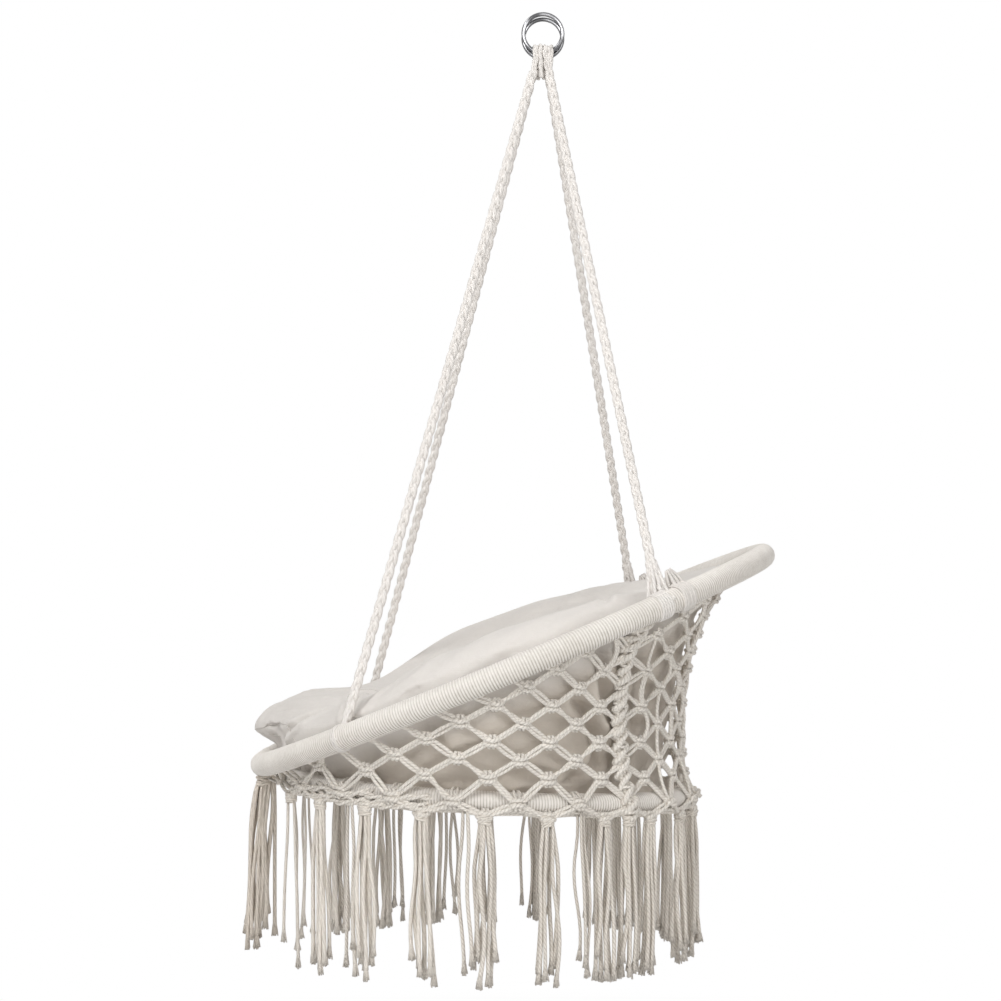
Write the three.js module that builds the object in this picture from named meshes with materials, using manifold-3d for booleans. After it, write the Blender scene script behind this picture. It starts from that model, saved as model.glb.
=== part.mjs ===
// A hanging hammock chair: two steel hoops wrapped in cord, joined by a knotted net, with a thick
// bowl cushion, a fringe of tassels and four ropes that gather on a pair of steel rings.
// Millimetres. +Z is up, the sitter faces -Y, and +X is the sitter's left. The origin is the point
// where the hook bears inside the first ring, so everything hangs below it.
import * as THREE from "three";
import { mergeVertices } from "three/addons/utils/BufferGeometryUtils.js";
import Module from "manifold-3d";

const wasm = await Module();
wasm.setup();

// Gaps that every piece uses
const clearance = 0.3;
const ropeCutClearance = 2.5; // how far the cushion stays off a rope
const weldDistance = 1e-3; // points nearer than this are one point

// The two rings on the hook
const ringInnerRadius = 25;
const ringWireRadius = 3;
const ringDrop = 6; // the second ring hangs this much lower
const ringWireSides = 8;
const ringSteps = 24;

// The upper hoop: the tilted one that carries the ropes
const upperRadius = 384;
const upperCentreY = -43;
const upperCentreZ = -921;
const upperTilt = THREE.MathUtils.degToRad(22.6);
const upperTubeRadius = 12.5;
const upperWrapRadius = 16.5;
const upperSteps = 34;

// The lower hoop: the level one that carries the seat
const lowerRadius = 278;
const lowerFrontInset = 38.8; // its front lies this far behind the upper hoop's front
const lowerFrontDrop = 16.1; // and this far below it
const lowerTilt = THREE.MathUtils.degToRad(-2.75);
const lowerTubeRadius = 10;
const lowerWrapRadius = 13.75;
const lowerSteps = 26;

// Both hoops: a steel tube with a fine seam at the back, and cord wound round it
const tubeWall = 1;
const hoopSeam = 0.4;
const tubeSides = 6;
const wrapSides = 10;

// The ropes and what they end in
const ropeRadius = 6.25;
const ropeSides = 10;
const ropeTopX = 7.5;
const ropeTopZ = -80;
const frontRopeTopY = -14;
const rearRopeTopY = 8;
const frontRopeAngle = THREE.MathUtils.degToRad(50.6);
const rearRopeAngle = THREE.MathUtils.degToRad(122.1);
const headCrownZ = -39;
const headFootZ = -78;
const headRadius = 12.6;
const headGatherRadius = 14.5;
const headSides = 16;
const eyeSides = 12;
const eyeSteps = 24;
const socketRadius = 7;
const socketDepth = 17;

// Ties round the upper hoop
const tieBandThickness = 2.6;
const frontTieWidth = 15;
const rearTieWidth = 26;
const frontFanHeight = 20;
const rearFanHeight = 44;
const fanDepthShare = 0.62;
const strapThickness = 2.5;
const strapWidth = 20;
const strapTabHeight = 26;
const strapTabTopWidth = 8;
const strapTabDepth = 4;
const strapAngle = rearRopeAngle + THREE.MathUtils.degToRad(5.6);
const bandSides = 10;

// The net. A column is one hanging knot line, a row one level of knots above the lower hoop.
const netColumns = 22;
const netFirstRow = 33;
const netRowPitch = 24.3;
const netThickness = 6.5;
const netEndWidth = 8.6;
const knotWidth = 16;
const knotHeight = 11;
const knotMargin = 13; // least room between a knot and the upper hoop's cord
const netStandoff = 1.5; // the net lies this far outside the lower hoop's cord
const netEndGap = 0.5;
const netSideBow = 12;
const netRearBow = 50;
const hemDrop = 4;
// Counted in columns from the front: where the side, the sennits and the lashings are
const sideColumnCount = 5.5;
const sideAngle = THREE.MathUtils.degToRad(86.8);
// The half columns where the net's panels begin; cords that pass from one to the next meet halfway
const sidePanelStarts = [2, 7, 12];
const backPanelStarts = [17, 20, 25];
const sennitColumnCount = 8;
const sennitAngle = THREE.MathUtils.degToRad(120.5);
const sennitWidth = 24;
const sennitThickness = 13;
const sennitSteps = 7;
const sennitSides = 8;
const seatMeshPitch = 50;
const seatMeshMargin = 14;

// Lashings that tie the two hoops together at the front
const lashingColumnCount = 0.5;
const lashingWidth = 18;
const lashingThickness = 3;
const lashingArcSteps = 7;
const lashingSlack = 0.9; // the hoops curve away a little across its width

// The fringe: one tassel under each hem knot, one under each sennit and two at the front
const tasselEndZ = -1332;
const tasselHeadRadius = 8.5;
const tasselHeadHeight = 15;
const tasselHeadSides = 6;
const strandRadius = 2.6;
const strandCount = 6;
const strandSides = 3;
const strandTopSpread = 5.8;
const strandEndSpread = 13;
const strandUneven = 13;
const frontTasselRise = 14; // the front tassels end a little higher
const tasselBite = 2; // how far a tassel's head reaches round the piece that it hangs from

// The cushion: a round pad pressed into the bowl, with a corner that lies on the front of the hoop
const cushionSegments = 32;
const cushionSeatInset = 18; // from the lower hoop's centreline in to the cushion's flat bottom
const cushionSeatRearInset = 48;
const cushionSideGap = 7; // between the cushion and the net
const cushionRearGap = 12;
const cushionRimGap = 26; // from the hoop's centreline in to the cushion's side
const cushionRearLean = 34; // more of it where the net leans in at the back
const cushionCrestTilt = 6; // the right side stands this much higher than the mean, the left side lower
// The crest's height above the upper hoop's plane, by degrees from the front
const cushionCrestStops = [
  [0, 68], [20, 68], [30, 57], [40, 40], [50, 35], [60, 45], [70, 54], [80, 57],
  [100, 53.5], [110, 47.5], [120, 40.5], [130, 29], [145, 13], [180, 10],
];
const cushionSeatHeight = 104;
const cushionCrown = 8;
const cushionBackDepth = 12;
const cushionFrontFill = 28;
const cushionChannelDepth = 4;
const cushionChannels = 8;
const cushionShoulderShare = 0.6; // how far the bottom's rounded edge reaches out
const cushionHipShare = 0.42; // the heights at which the side leans on the net
const cushionWaistShare = 0.72;
const cushionBottomShare = 0.55; // shares of a hoop's radius, from here on
const cushionCrestShare = 0.83;
const cushionSlopeShare = 0.72;
const cushionBackShare = 0.56;
const cushionBowlShare = 0.5;
const cushionMiddleShare = 0.25;
const cushionEdgeShare = 0.72; // how high the rim is at its outer edge
const cushionSlopeRiseShare = 0.84;
const cushionRimShare = 0.45; // how much of the crest's height the rim has at its inner edge
const cornerInset = 3; // from the hoop's centreline in to the corner's tip
const cornerUndercut = 29; // from the tip in to where the corner's underside meets the hoop
const cornerHeight = 49;
const cornerCrestShare = 0.9;
const cornerHalfAngle = THREE.MathUtils.degToRad(15);
const cornerSweepShare = 0.2; // the front fills out from this share of the way round

const upperHoop = {
  radius: upperRadius,
  centre: new THREE.Vector3(0, upperCentreY, upperCentreZ),
  tilt: upperTilt,
  tubeRadius: upperTubeRadius,
  wrapRadius: upperWrapRadius,
  steps: upperSteps,
};
// The two hoops are lashed together at the front, so the lower one's place follows the upper one's
const lowerCentre = new THREE.Vector3(
  0,
  upperCentreY - upperRadius * Math.cos(upperTilt) + lowerFrontInset + lowerRadius * Math.cos(lowerTilt),
  upperCentreZ - upperRadius * Math.sin(upperTilt) - lowerFrontDrop + lowerRadius * Math.sin(lowerTilt),
);
const lowerHoop = {
  radius: lowerRadius,
  centre: lowerCentre,
  tilt: lowerTilt,
  tubeRadius: lowerTubeRadius,
  wrapRadius: lowerWrapRadius,
  steps: lowerSteps,
};

const steel = new THREE.MeshStandardMaterial({ color: 0xc9cbce, roughness: 0.22, metalness: 1 });
const tubeSteel = new THREE.MeshStandardMaterial({ color: 0x8e9093, roughness: 0.45, metalness: 1 });
const cord = new THREE.MeshStandardMaterial({ color: 0xe3dfd9, roughness: 0.9, metalness: 0 });
const cover = new THREE.MeshStandardMaterial({ color: 0xdedbd6, roughness: 0.95, metalness: 0 });

const chair = new THREE.Group();

function addPart(name, geometry, material) {
  const mesh = new THREE.Mesh(geometry, material);
  mesh.name = name;
  chair.add(mesh);
}

// Solids and booleans

function solidOf(geometry) {
  const plain = geometry.index ? geometry.toNonIndexed() : geometry.clone();
  plain.deleteAttribute("normal");
  plain.deleteAttribute("uv");
  const merged = mergeVertices(plain, weldDistance);
  return new wasm.Manifold(
    new wasm.Mesh({
      numProp: 3,
      vertProperties: merged.attributes.position.array,
      triVerts: new Uint32Array(merged.index.array),
    }),
  );
}

function geometryOf(solid) {
  const mesh = solid.getMesh();
  return new THREE.BufferGeometry()
    .setAttribute("position", new THREE.BufferAttribute(mesh.vertProperties, 3))
    .setIndex(new THREE.BufferAttribute(mesh.triVerts, 1));
}

// A cut can leave crumbs behind; this keeps the piece itself
function largest(solid) {
  return solid.decompose().reduce((best, one) => (one.volume() > best.volume() ? one : best));
}

function joined(geometries) {
  return geometries.map(solidOf).reduce((all, one) => all.add(one));
}

// Indexed points and faces, turned to face outwards
function surface(points, faces) {
  const positions = new Float32Array(points.length * 3);
  points.forEach((point, i) => point.toArray(positions, i * 3));
  let sixVolumes = 0;
  for (const [a, b, c] of faces) {
    sixVolumes += points[a].dot(points[b].clone().cross(points[c]));
  }
  const index = faces.flatMap(([a, b, c]) => (sixVolumes < 0 ? [a, c, b] : [a, b, c]));
  return new THREE.BufferGeometry()
    .setAttribute("position", new THREE.BufferAttribute(positions, 3))
    .setIndex(index);
}

// A closed skin over rings of equally many points; a ring of one point is a pole
function loft(rings) {
  const points = rings.flat();
  const faces = [];
  let start = 0;
  rings.slice(0, -1).forEach((ring, row) => {
    const next = rings[row + 1];
    const nextStart = start + ring.length;
    const count = Math.max(ring.length, next.length);
    for (let i = 0; i < count; i += 1) {
      const i2 = (i + 1) % count;
      if (ring.length > 1) {
        faces.push([start + i, start + i2, nextStart + (next.length > 1 ? i2 : 0)]);
      }
      if (next.length > 1) {
        faces.push([start + (ring.length > 1 ? i : 0), nextStart + i2, nextStart + i]);
      }
    }
    start = nextStart;
  });
  const first = rings[0];
  const last = rings[rings.length - 1];
  for (let i = 1; i < first.length - 1; i += 1) faces.push([0, i + 1, i]);
  for (let i = 1; i < last.length - 1; i += 1) faces.push([start, start + i, start + i + 1]);
  return surface(points, faces);
}

function circleShape(radius, sides) {
  const points = Array.from({ length: sides }, (_, i) => {
    const angle = (i / sides) * Math.PI * 2;
    return new THREE.Vector2(radius * Math.cos(angle), radius * Math.sin(angle));
  });
  return new THREE.Shape(points);
}

// A round bar from one point to another, with a radius at each end
function bar(from, to, fromRadius, toRadius, sides) {
  const along = to.clone().sub(from);
  const shape = new THREE.CylinderGeometry(toRadius, fromRadius, along.length(), sides);
  const turn = new THREE.Quaternion().setFromUnitVectors(
    new THREE.Vector3(0, 1, 0),
    along.clone().normalize(),
  );
  return shape
    .applyQuaternion(turn)
    .translate(...from.clone().add(to).multiplyScalar(0.5).toArray());
}

// Places on the hoops. An angle of 0 is the front and a quarter turn is the sitter's left.

function outward(hoop, angle) {
  return new THREE.Vector3(
    Math.sin(angle),
    -Math.cos(angle) * Math.cos(hoop.tilt),
    -Math.cos(angle) * Math.sin(hoop.tilt),
  );
}

function normalOf(hoop) {
  return new THREE.Vector3(0, -Math.sin(hoop.tilt), Math.cos(hoop.tilt));
}

function planePoint(hoop, radius, angle, height) {
  return hoop.centre
    .clone()
    .addScaledVector(outward(hoop, angle), radius)
    .addScaledVector(normalOf(hoop), height);
}

function hoopPoint(hoop, angle) {
  return planePoint(hoop, hoop.radius, angle, 0);
}

function tangentOf(hoop, angle) {
  return outward(hoop, angle + Math.PI / 2);
}

class HoopArc extends THREE.Curve {
  constructor(hoop) {
    super();
    this.hoop = hoop;
  }

  getPoint(share) {
    const halfSeam = hoopSeam / this.hoop.radius / 2;
    const sweep = 2 * (Math.PI - halfSeam);
    return hoopPoint(this.hoop, Math.PI + halfSeam + share * sweep);
  }
}

function hoopSleeve(hoop, outerRadius, outerSides, innerRadius, innerSides) {
  const section = circleShape(outerRadius, outerSides);
  section.holes.push(circleShape(innerRadius, innerSides));
  return new THREE.ExtrudeGeometry(section, {
    extrudePath: new HoopArc(hoop),
    steps: hoop.steps,
    bevelEnabled: false,
  });
}

function addHoops() {
  for (const [name, hoop] of [["upper", upperHoop], ["lower", lowerHoop]]) {
    const { tubeRadius, wrapRadius } = hoop;
    const tube = hoopSleeve(hoop, tubeRadius, tubeSides, tubeRadius - tubeWall, tubeSides);
    const wrap = hoopSleeve(hoop, wrapRadius, wrapSides, tubeRadius + clearance, tubeSides);
    addPart(`${name}_hoop_tube`, tube, tubeSteel);
    addPart(`${name}_hoop_wrap`, wrap, cord);
  }
}

// The rings, and the head where the ropes gather

const ringRadius = ringInnerRadius + ringWireRadius;
const ringOffset = ringWireRadius + clearance;
const firstRingZ = -ringInnerRadius;
const swingCentreZ = firstRingZ - ringDrop / 2;

function torusAcrossX(radius, tubeRadius, sides, steps, centre) {
  return new THREE.TorusGeometry(radius, tubeRadius, sides, steps)
    .rotateY(Math.PI / 2)
    .translate(...centre.toArray());
}

function addRings() {
  const places = [
    ["hanging_ring_first", ringOffset, firstRingZ],
    ["hanging_ring_second", -ringOffset, firstRingZ - ringDrop],
  ];
  for (const [name, x, z] of places) {
    const centre = new THREE.Vector3(x, 0, z);
    addPart(name, torusAcrossX(ringRadius, ringWireRadius, ringWireSides, ringSteps, centre), steel);
  }
}

function ropeEnds(rope) {
  const top = new THREE.Vector3(rope.side * ropeTopX, rope.topY, ropeTopZ);
  const foot = hoopPoint(upperHoop, rope.side * rope.angle);
  return { top, foot, along: foot.clone().sub(top).normalize() };
}

function addHead() {
  const headHeight = headCrownZ - headFootZ;
  const crownShares = [[0.72, 0.03], [1, 0.2], [1, 0.55]];
  const profile = [new THREE.Vector2(0, headFootZ)];
  profile.push(new THREE.Vector2(headRadius, headFootZ));
  profile.push(new THREE.Vector2(headGatherRadius, headFootZ + headHeight / 5));
  for (const [radiusShare, depthShare] of crownShares.reverse()) {
    profile.push(new THREE.Vector2(headRadius * radiusShare, headCrownZ - headHeight * depthShare));
  }
  profile.push(new THREE.Vector2(0, headCrownZ));
  const body = new THREE.LatheGeometry(profile, headSides).rotateX(Math.PI / 2);
  const sockets = ropes.map((rope) => {
    const { top, along } = ropeEnds(rope);
    const root = top.clone().addScaledVector(along, -socketDepth);
    const mouth = top.clone().addScaledVector(along, -clearance);
    return bar(root, mouth, socketRadius, socketRadius, ropeSides);
  });
  const wireReach = Math.hypot(ringOffset, ringDrop / 2) + ringWireRadius;
  const eyeRadius = (wireReach + clearance) / Math.cos(Math.PI / eyeSides);
  const eyeCentre = new THREE.Vector3(0, 0, swingCentreZ);
  const eye = torusAcrossX(ringRadius, eyeRadius, eyeSides, eyeSteps, eyeCentre);
  addPart("rope_head", geometryOf(joined([body, ...sockets]).subtract(solidOf(eye))), cord);
}

const ropes = [
  { name: "front_left", side: 1, topY: frontRopeTopY, angle: frontRopeAngle, rear: false },
  { name: "front_right", side: -1, topY: frontRopeTopY, angle: frontRopeAngle, rear: false },
  { name: "rear_left", side: 1, topY: rearRopeTopY, angle: rearRopeAngle, rear: true },
  { name: "rear_right", side: -1, topY: rearRopeTopY, angle: rearRopeAngle, rear: true },
];

function ropeFoot(rope) {
  const { foot, along } = ropeEnds(rope);
  const rise = upperWrapRadius + (rope.rear ? rearFanHeight : frontFanHeight);
  return foot.clone().addScaledVector(along, -rise);
}

function addRopes() {
  for (const rope of ropes) {
    const { top } = ropeEnds(rope);
    addPart(`rope_${rope.name}`, bar(top, ropeFoot(rope), ropeRadius, ropeRadius, ropeSides), cord);
  }
}

// Bands round the upper hoop: the ropes' ties and the cushion's straps

function hoopBasis(hoop, angle) {
  const basis = new THREE.Matrix4().makeBasis(
    outward(hoop, angle),
    normalOf(hoop),
    outward(hoop, angle).cross(normalOf(hoop)),
  );
  return basis.setPosition(hoopPoint(hoop, angle));
}

// A plain disc across the upper hoop, that becomes a band once the hoop is cut out of it
function hoopBand(angle, width, thickness) {
  const section = circleShape(upperWrapRadius + clearance + thickness, bandSides);
  return new THREE.ExtrudeGeometry(section, { depth: width, bevelEnabled: false })
    .translate(0, 0, -width / 2)
    .applyMatrix4(hoopBasis(upperHoop, angle));
}

// What has to stay clear of a hoop's cord is cut with this: the cord's own outline, a little larger
function hoopCutter(hoop) {
  const radius = hoop.wrapRadius + clearance / Math.cos(Math.PI / wrapSides);
  const sleeve = new THREE.ExtrudeGeometry(circleShape(radius, wrapSides), {
    extrudePath: new HoopArc(hoop),
    steps: hoop.steps,
    bevelEnabled: false,
  });
  const halfPlug = hoop.wrapRadius / hoop.radius;
  const plug = [Math.PI - halfPlug, Math.PI + halfPlug].map((angle) => hoopPoint(hoop, angle));
  return joined([sleeve, bar(plug[0], plug[1], radius, radius, wrapSides)]);
}

const cutters = { upper: hoopCutter(upperHoop), lower: hoopCutter(lowerHoop) };

function addRopeTies() {
  for (const rope of ropes) {
    const angle = rope.side * rope.angle;
    const width = rope.rear ? rearTieWidth : frontTieWidth;
    const { foot, along } = ropeEnds(rope);
    const top = ropeFoot(rope).addScaledVector(along, clearance);
    const height = top.distanceTo(foot);
    const fan = new THREE.CylinderGeometry(ropeRadius, width / 2, height, bandSides)
      .scale(1, 1, fanDepthShare)
      .translate(0, height / 2, 0);
    const across = tangentOf(upperHoop, angle);
    const up = along.clone().negate();
    across.addScaledVector(up, -across.dot(up)).normalize();
    const turn = new THREE.Matrix4().makeBasis(across, up, across.clone().cross(up));
    fan.applyMatrix4(turn.setPosition(foot));
    const band = hoopBand(angle, width, tieBandThickness);
    const tie = joined([band, fan]).subtract(cutters.upper);
    addPart(`rope_tie_${rope.name}`, geometryOf(tie), cord);
  }
}

function addCushionStraps() {
  for (const [name, side] of [["left", 1], ["right", -1]]) {
    const angle = side * strapAngle;
    const band = hoopBand(angle, strapWidth, strapThickness);
    const baseHeight = upperWrapRadius + strapThickness / 2;
    const tab = loft(
      [[baseHeight, strapWidth], [baseHeight + strapTabHeight, strapTabTopWidth]].map(
        ([height, width]) =>
          [[-1, -1], [1, -1], [1, 1], [-1, 1]].map(
            ([x, z]) => new THREE.Vector3((x * strapTabDepth) / 2, height, (z * width) / 2),
          ),
      ),
    ).applyMatrix4(hoopBasis(upperHoop, angle));
    const strap = joined([band, tab]).subtract(cutters.upper);
    addPart(`cushion_strap_${name}`, geometryOf(strap), cover);
  }
}

// The ties and straps, a little larger, for cutting what meets them
function bandCutters() {
  const bands = [
    [frontRopeAngle, frontTieWidth, tieBandThickness],
    [rearRopeAngle, rearTieWidth, tieBandThickness],
    [strapAngle, strapWidth, strapThickness],
  ];
  const both = bands.flatMap(([angle, ...rest]) => [[angle, ...rest], [-angle, ...rest]]);
  return joined(
    both.map(([angle, width, thickness]) =>
      hoopBand(angle, width + 2 * clearance, thickness + clearance / Math.cos(Math.PI / bandSides)),
    ),
  );
}

// The net's surface

function lowerAngle(column) {
  return (column / netColumns) * Math.PI * 2;
}

// The knot lines lean as they rise, because the sitter's back pulls the net towards the rear ropes
function upperAngle(column) {
  const half = netColumns / 2;
  const folded = ((((column + half) % netColumns) + netColumns) % netColumns) - half;
  const size = Math.abs(folded);
  const stops = [
    [0, 0],
    [sideColumnCount, sideAngle],
    [sennitColumnCount, sennitAngle],
    [half, Math.PI],
  ];
  const next = stops.findIndex(([at], i) => i > 0 && size <= at + 1e-9);
  const [fromColumn, fromAngle] = stops[next - 1];
  const [toColumn, toAngle] = stops[next];
  const share = (size - fromColumn) / (toColumn - fromColumn);
  return Math.sign(folded) * THREE.MathUtils.lerp(fromAngle, toAngle, share);
}

function netPoint(column, height, standoff = netStandoff + netThickness / 2) {
  const low = hoopPoint(lowerHoop, lowerAngle(column));
  const high = hoopPoint(upperHoop, upperAngle(column));
  const out = outward(lowerHoop, lowerAngle(column));
  const share = height / (high.z - low.z);
  low.addScaledVector(out, lowerWrapRadius + standoff);
  const point = low.clone().lerp(high, share);
  point.z = hoopPoint(lowerHoop, lowerAngle(column)).z + height;
  const rearShare = Math.max(0, -Math.cos(lowerAngle(column)));
  const bow = netSideBow + netRearBow * rearShare;
  const inside = Math.min(1, Math.max(0, share));
  const bowShape = Math.sqrt(Math.max(0, Math.sin(Math.PI * inside ** 1.3)));
  const radial = new THREE.Vector3(out.x, out.y, 0).normalize();
  return point.addScaledVector(radial, -bow * bowShape);
}

function hemPoint(column) {
  const angle = lowerAngle(column);
  return planePoint(
    lowerHoop,
    lowerRadius + lowerWrapRadius + netStandoff,
    angle,
    -(lowerWrapRadius + hemDrop),
  );
}

function rowHeight(row) {
  return row === 0 ? 0 : netFirstRow + (row - 1) * netRowPitch;
}

function netFrame(column, height) {
  const columnStep = 0.1;
  const heightStep = netRowPitch / 10;
  const across = netPoint(column + columnStep, height)
    .sub(netPoint(column - columnStep, height))
    .normalize();
  const up = netPoint(column, height + heightStep)
    .sub(netPoint(column, height))
    .normalize();
  const normal = across.clone().cross(up).normalize();
  return { across, up: normal.clone().cross(across), normal };
}

// A net's mesh. Each knot is a flat diamond with a front and a back, and each pair of cords between
// two knots is a bar that shares the corners of the knots it joins.
class NetMesh {
  constructor() {
    this.points = [];
    this.faces = [];
  }

  corner(place, normal) {
    this.points.push(place.clone().addScaledVector(normal, netThickness / 2));
    this.points.push(place.clone().addScaledVector(normal, -netThickness / 2));
    return { front: this.points.length - 2, back: this.points.length - 1 };
  }

  quad(a, b, c, d) {
    this.faces.push([a, b, c], [a, c, d]);
  }

  knot(place, frame) {
    const at = (x, y) =>
      this.corner(
        place
          .clone()
          .addScaledVector(frame.across, (x * knotWidth) / 2)
          .addScaledVector(frame.up, (y * knotHeight) / 2),
        frame.normal,
      );
    const knot = { left: at(-1, 0), bottom: at(0, -1), right: at(1, 0), top: at(0, 1) };
    this.quad(knot.left.front, knot.bottom.front, knot.right.front, knot.top.front);
    this.quad(knot.top.back, knot.right.back, knot.bottom.back, knot.left.back);
    return knot;
  }

  // From the side a-b up to the side c-d, seen from outside with a and c on the left
  cords(a, b, c, d) {
    this.quad(a.front, b.front, d.front, c.front);
    this.quad(a.back, c.back, d.back, b.back);
    this.quad(a.front, c.front, c.back, a.back);
    this.quad(b.front, b.back, d.back, d.front);
  }

  cap(a, b) {
    this.quad(a.front, b.front, b.back, a.back);
  }

  // The two corners of a free end, on the left and right of the way the cords run
  end(place, left, normal) {
    const away = left.clone().setLength(netEndWidth / 2);
    return [
      this.corner(place.clone().add(away), normal),
      this.corner(place.clone().sub(away), normal),
    ];
  }

  geometry() {
    return surface(this.points, this.faces);
  }
}

const ports = {
  upRight: { step: [1, 1], side: ["top", "right"], facing: ["left", "bottom"] },
  upLeft: { step: [-1, 1], side: ["left", "top"], facing: ["bottom", "right"] },
  downRight: { step: [1, -1], side: ["bottom", "right"] },
  downLeft: { step: [-1, -1], side: ["left", "bottom"] },
};

// Joins knots that are keyed by two whole numbers, and asks for a place where a cord has no knot to
// run to. A port that is given no place is closed.
function knit(net, knots, endPlace) {
  for (const [key, knot] of knots) {
    const [x, y] = key.split(",").map(Number);
    for (const port of Object.values(ports)) {
      const [stepX, stepY] = port.step;
      const other = knots.get(`${x + stepX},${y + stepY}`);
      const [left, right] = port.side.map((corner) => knot.corners[corner]);
      if (other && port.facing) {
        net.cords(left, right, ...port.facing.map((corner) => other.corners[corner]));
      } else if (!other) {
        const place = endPlace(knot, x, y, stepX, stepY);
        const normal = place?.normal ?? knot.frame.normal;
        const [endLeft, endRight] = place ? net.end(place.at, place.left, normal) : [];
        if (place && stepY > 0) {
          net.cords(left, right, endLeft, endRight);
          net.cap(endLeft, endRight);
        } else if (place) {
          net.cords(endLeft, endRight, left, right);
          net.cap(endRight, endLeft);
        } else if (stepY > 0) {
          net.cap(left, right);
        } else {
          net.cap(right, left);
        }
      }
    }
  }
}

function knotFits(halfColumn, row) {
  if (row === -1) return knotFits(halfColumn - 1, 0) && knotFits(halfColumn + 1, 0);
  const column = halfColumn / 2;
  const place = netPoint(column, rowHeight(row));
  const hoop = hoopPoint(upperHoop, upperAngle(column));
  return place.z < hoop.z && place.distanceTo(hoop) > upperWrapRadius + knotMargin;
}

// The net begins beside the lashings at the front, on half columns from the first panel's start
function isKnot(halfColumn, row) {
  const [first] = sidePanelStarts;
  const inRange = halfColumn >= first && halfColumn <= 2 * netColumns - first;
  return inRange && row >= -1 && knotFits(halfColumn, row);
}

function knotPlace(halfColumn, row) {
  return row < 0 ? hemPoint(halfColumn / 2) : netPoint(halfColumn / 2, rowHeight(row));
}

function knotFrame(halfColumn, row) {
  return netFrame(halfColumn / 2, rowHeight(Math.max(0, row)));
}

const sennitHalfColumns = [2 * sennitColumnCount, 2 * (netColumns - sennitColumnCount)];

// One panel of the side net, from one half column to another. The two sennits bound the panels.
function netPanel(firstHalfColumn, lastHalfColumn) {
  const net = new NetMesh();
  const knots = new Map();
  const isSennit = (x) => sennitHalfColumns.includes(Math.abs(x));
  const rowLimit = Math.ceil((upperCentreZ - lowerCentre.z + upperRadius) / netRowPitch);
  for (let x = firstHalfColumn; x <= lastHalfColumn; x += 1) {
    for (let row = -1; row < rowLimit; row += 1) {
      if ((x + row) % 2 !== 0 || isSennit(x) || !isKnot(x, row)) continue;
      const frame = knotFrame(x, row);
      const place = knotPlace(x, row);
      knots.set(`${x},${row}`, { corners: net.knot(place, frame), frame, place });
    }
  }
  knit(net, knots, (knot, x, row, stepX, stepRow) => {
    const [nextX, nextRow] = [x + stepX, row + stepRow];
    const besideSennit = isSennit(nextX);
    const inNextPanel = nextX < firstHalfColumn || nextX > lastHalfColumn;
    if (inNextPanel && !besideSennit && isKnot(nextX, nextRow)) {
      const other = knotPlace(nextX, nextRow);
      const along = other.clone().sub(knot.place).normalize();
      const normal = knot.frame.normal.clone().add(knotFrame(nextX, nextRow).normal);
      normal.addScaledVector(along, -normal.dot(along)).normalize();
      const at = other.lerp(knot.place, 0.5).addScaledVector(along, -clearance / 2);
      return { at, normal, left: normal.clone().cross(along).multiplyScalar(stepRow) };
    }
    if (stepRow < 0 && !besideSennit) return null;
    if (besideSennit && row + stepRow < 0) return null;
    const column = (x + stepX) / 2;
    if (besideSennit && knotFits(x + stepX, row + stepRow)) {
      const apart = stepRow * netEndWidth * 0.6; // so that the cord from above ends higher
      const height = rowHeight(row + stepRow) - apart;
      const frame = netFrame(column, height);
      const at = netPoint(column, height);
      at.addScaledVector(frame.across, (-stepX * sennitWidth) / 4);
      return { at, left: frame.up.clone().multiplyScalar(stepX * stepRow) };
    }
    if (stepRow < 0) return null;
    const room = hoopPoint(upperHoop, upperAngle(x / 2)).z - knot.place.z;
    const rise = rowHeight(row + 1) - rowHeight(row);
    const reach = Math.min(1, Math.max(0.2, room / rise));
    const at = hoopPoint(upperHoop, upperAngle((x + stepX * reach) / 2));
    const along = at.clone().sub(knot.place).normalize();
    return { at, left: knot.frame.normal.clone().cross(along) };
  });
  return solidOf(net.geometry());
}

function addSideNets() {
  const [leftSennit, rightSennit] = sennitHalfColumns;
  const allHalfColumns = 2 * netColumns;
  const mirrored = sidePanelStarts.map((x, i) =>
    i === 0 ? rightSennit : allHalfColumns + 1 - sidePanelStarts[sidePanelStarts.length - i],
  );
  const sides = [
    ["side_net_left", sidePanelStarts, leftSennit],
    ["back_net", backPanelStarts, rightSennit],
    ["side_net_right", mirrored, allHalfColumns - 1],
  ];
  const inTheWay = [cutters.upper, cutters.lower, bandCutters(), ...sennitCutters()];
  for (const [name, starts, stop] of sides) {
    starts.forEach((first, i) => {
      const panel = netPanel(first, (starts[i + 1] ?? stop) - 1);
      const cut = inTheWay.reduce((rest, cutter) => rest.subtract(cutter), panel);
      addPart(`${name}_${i + 1}`, geometryOf(largest(cut)), cord);
    });
  }
}

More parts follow.
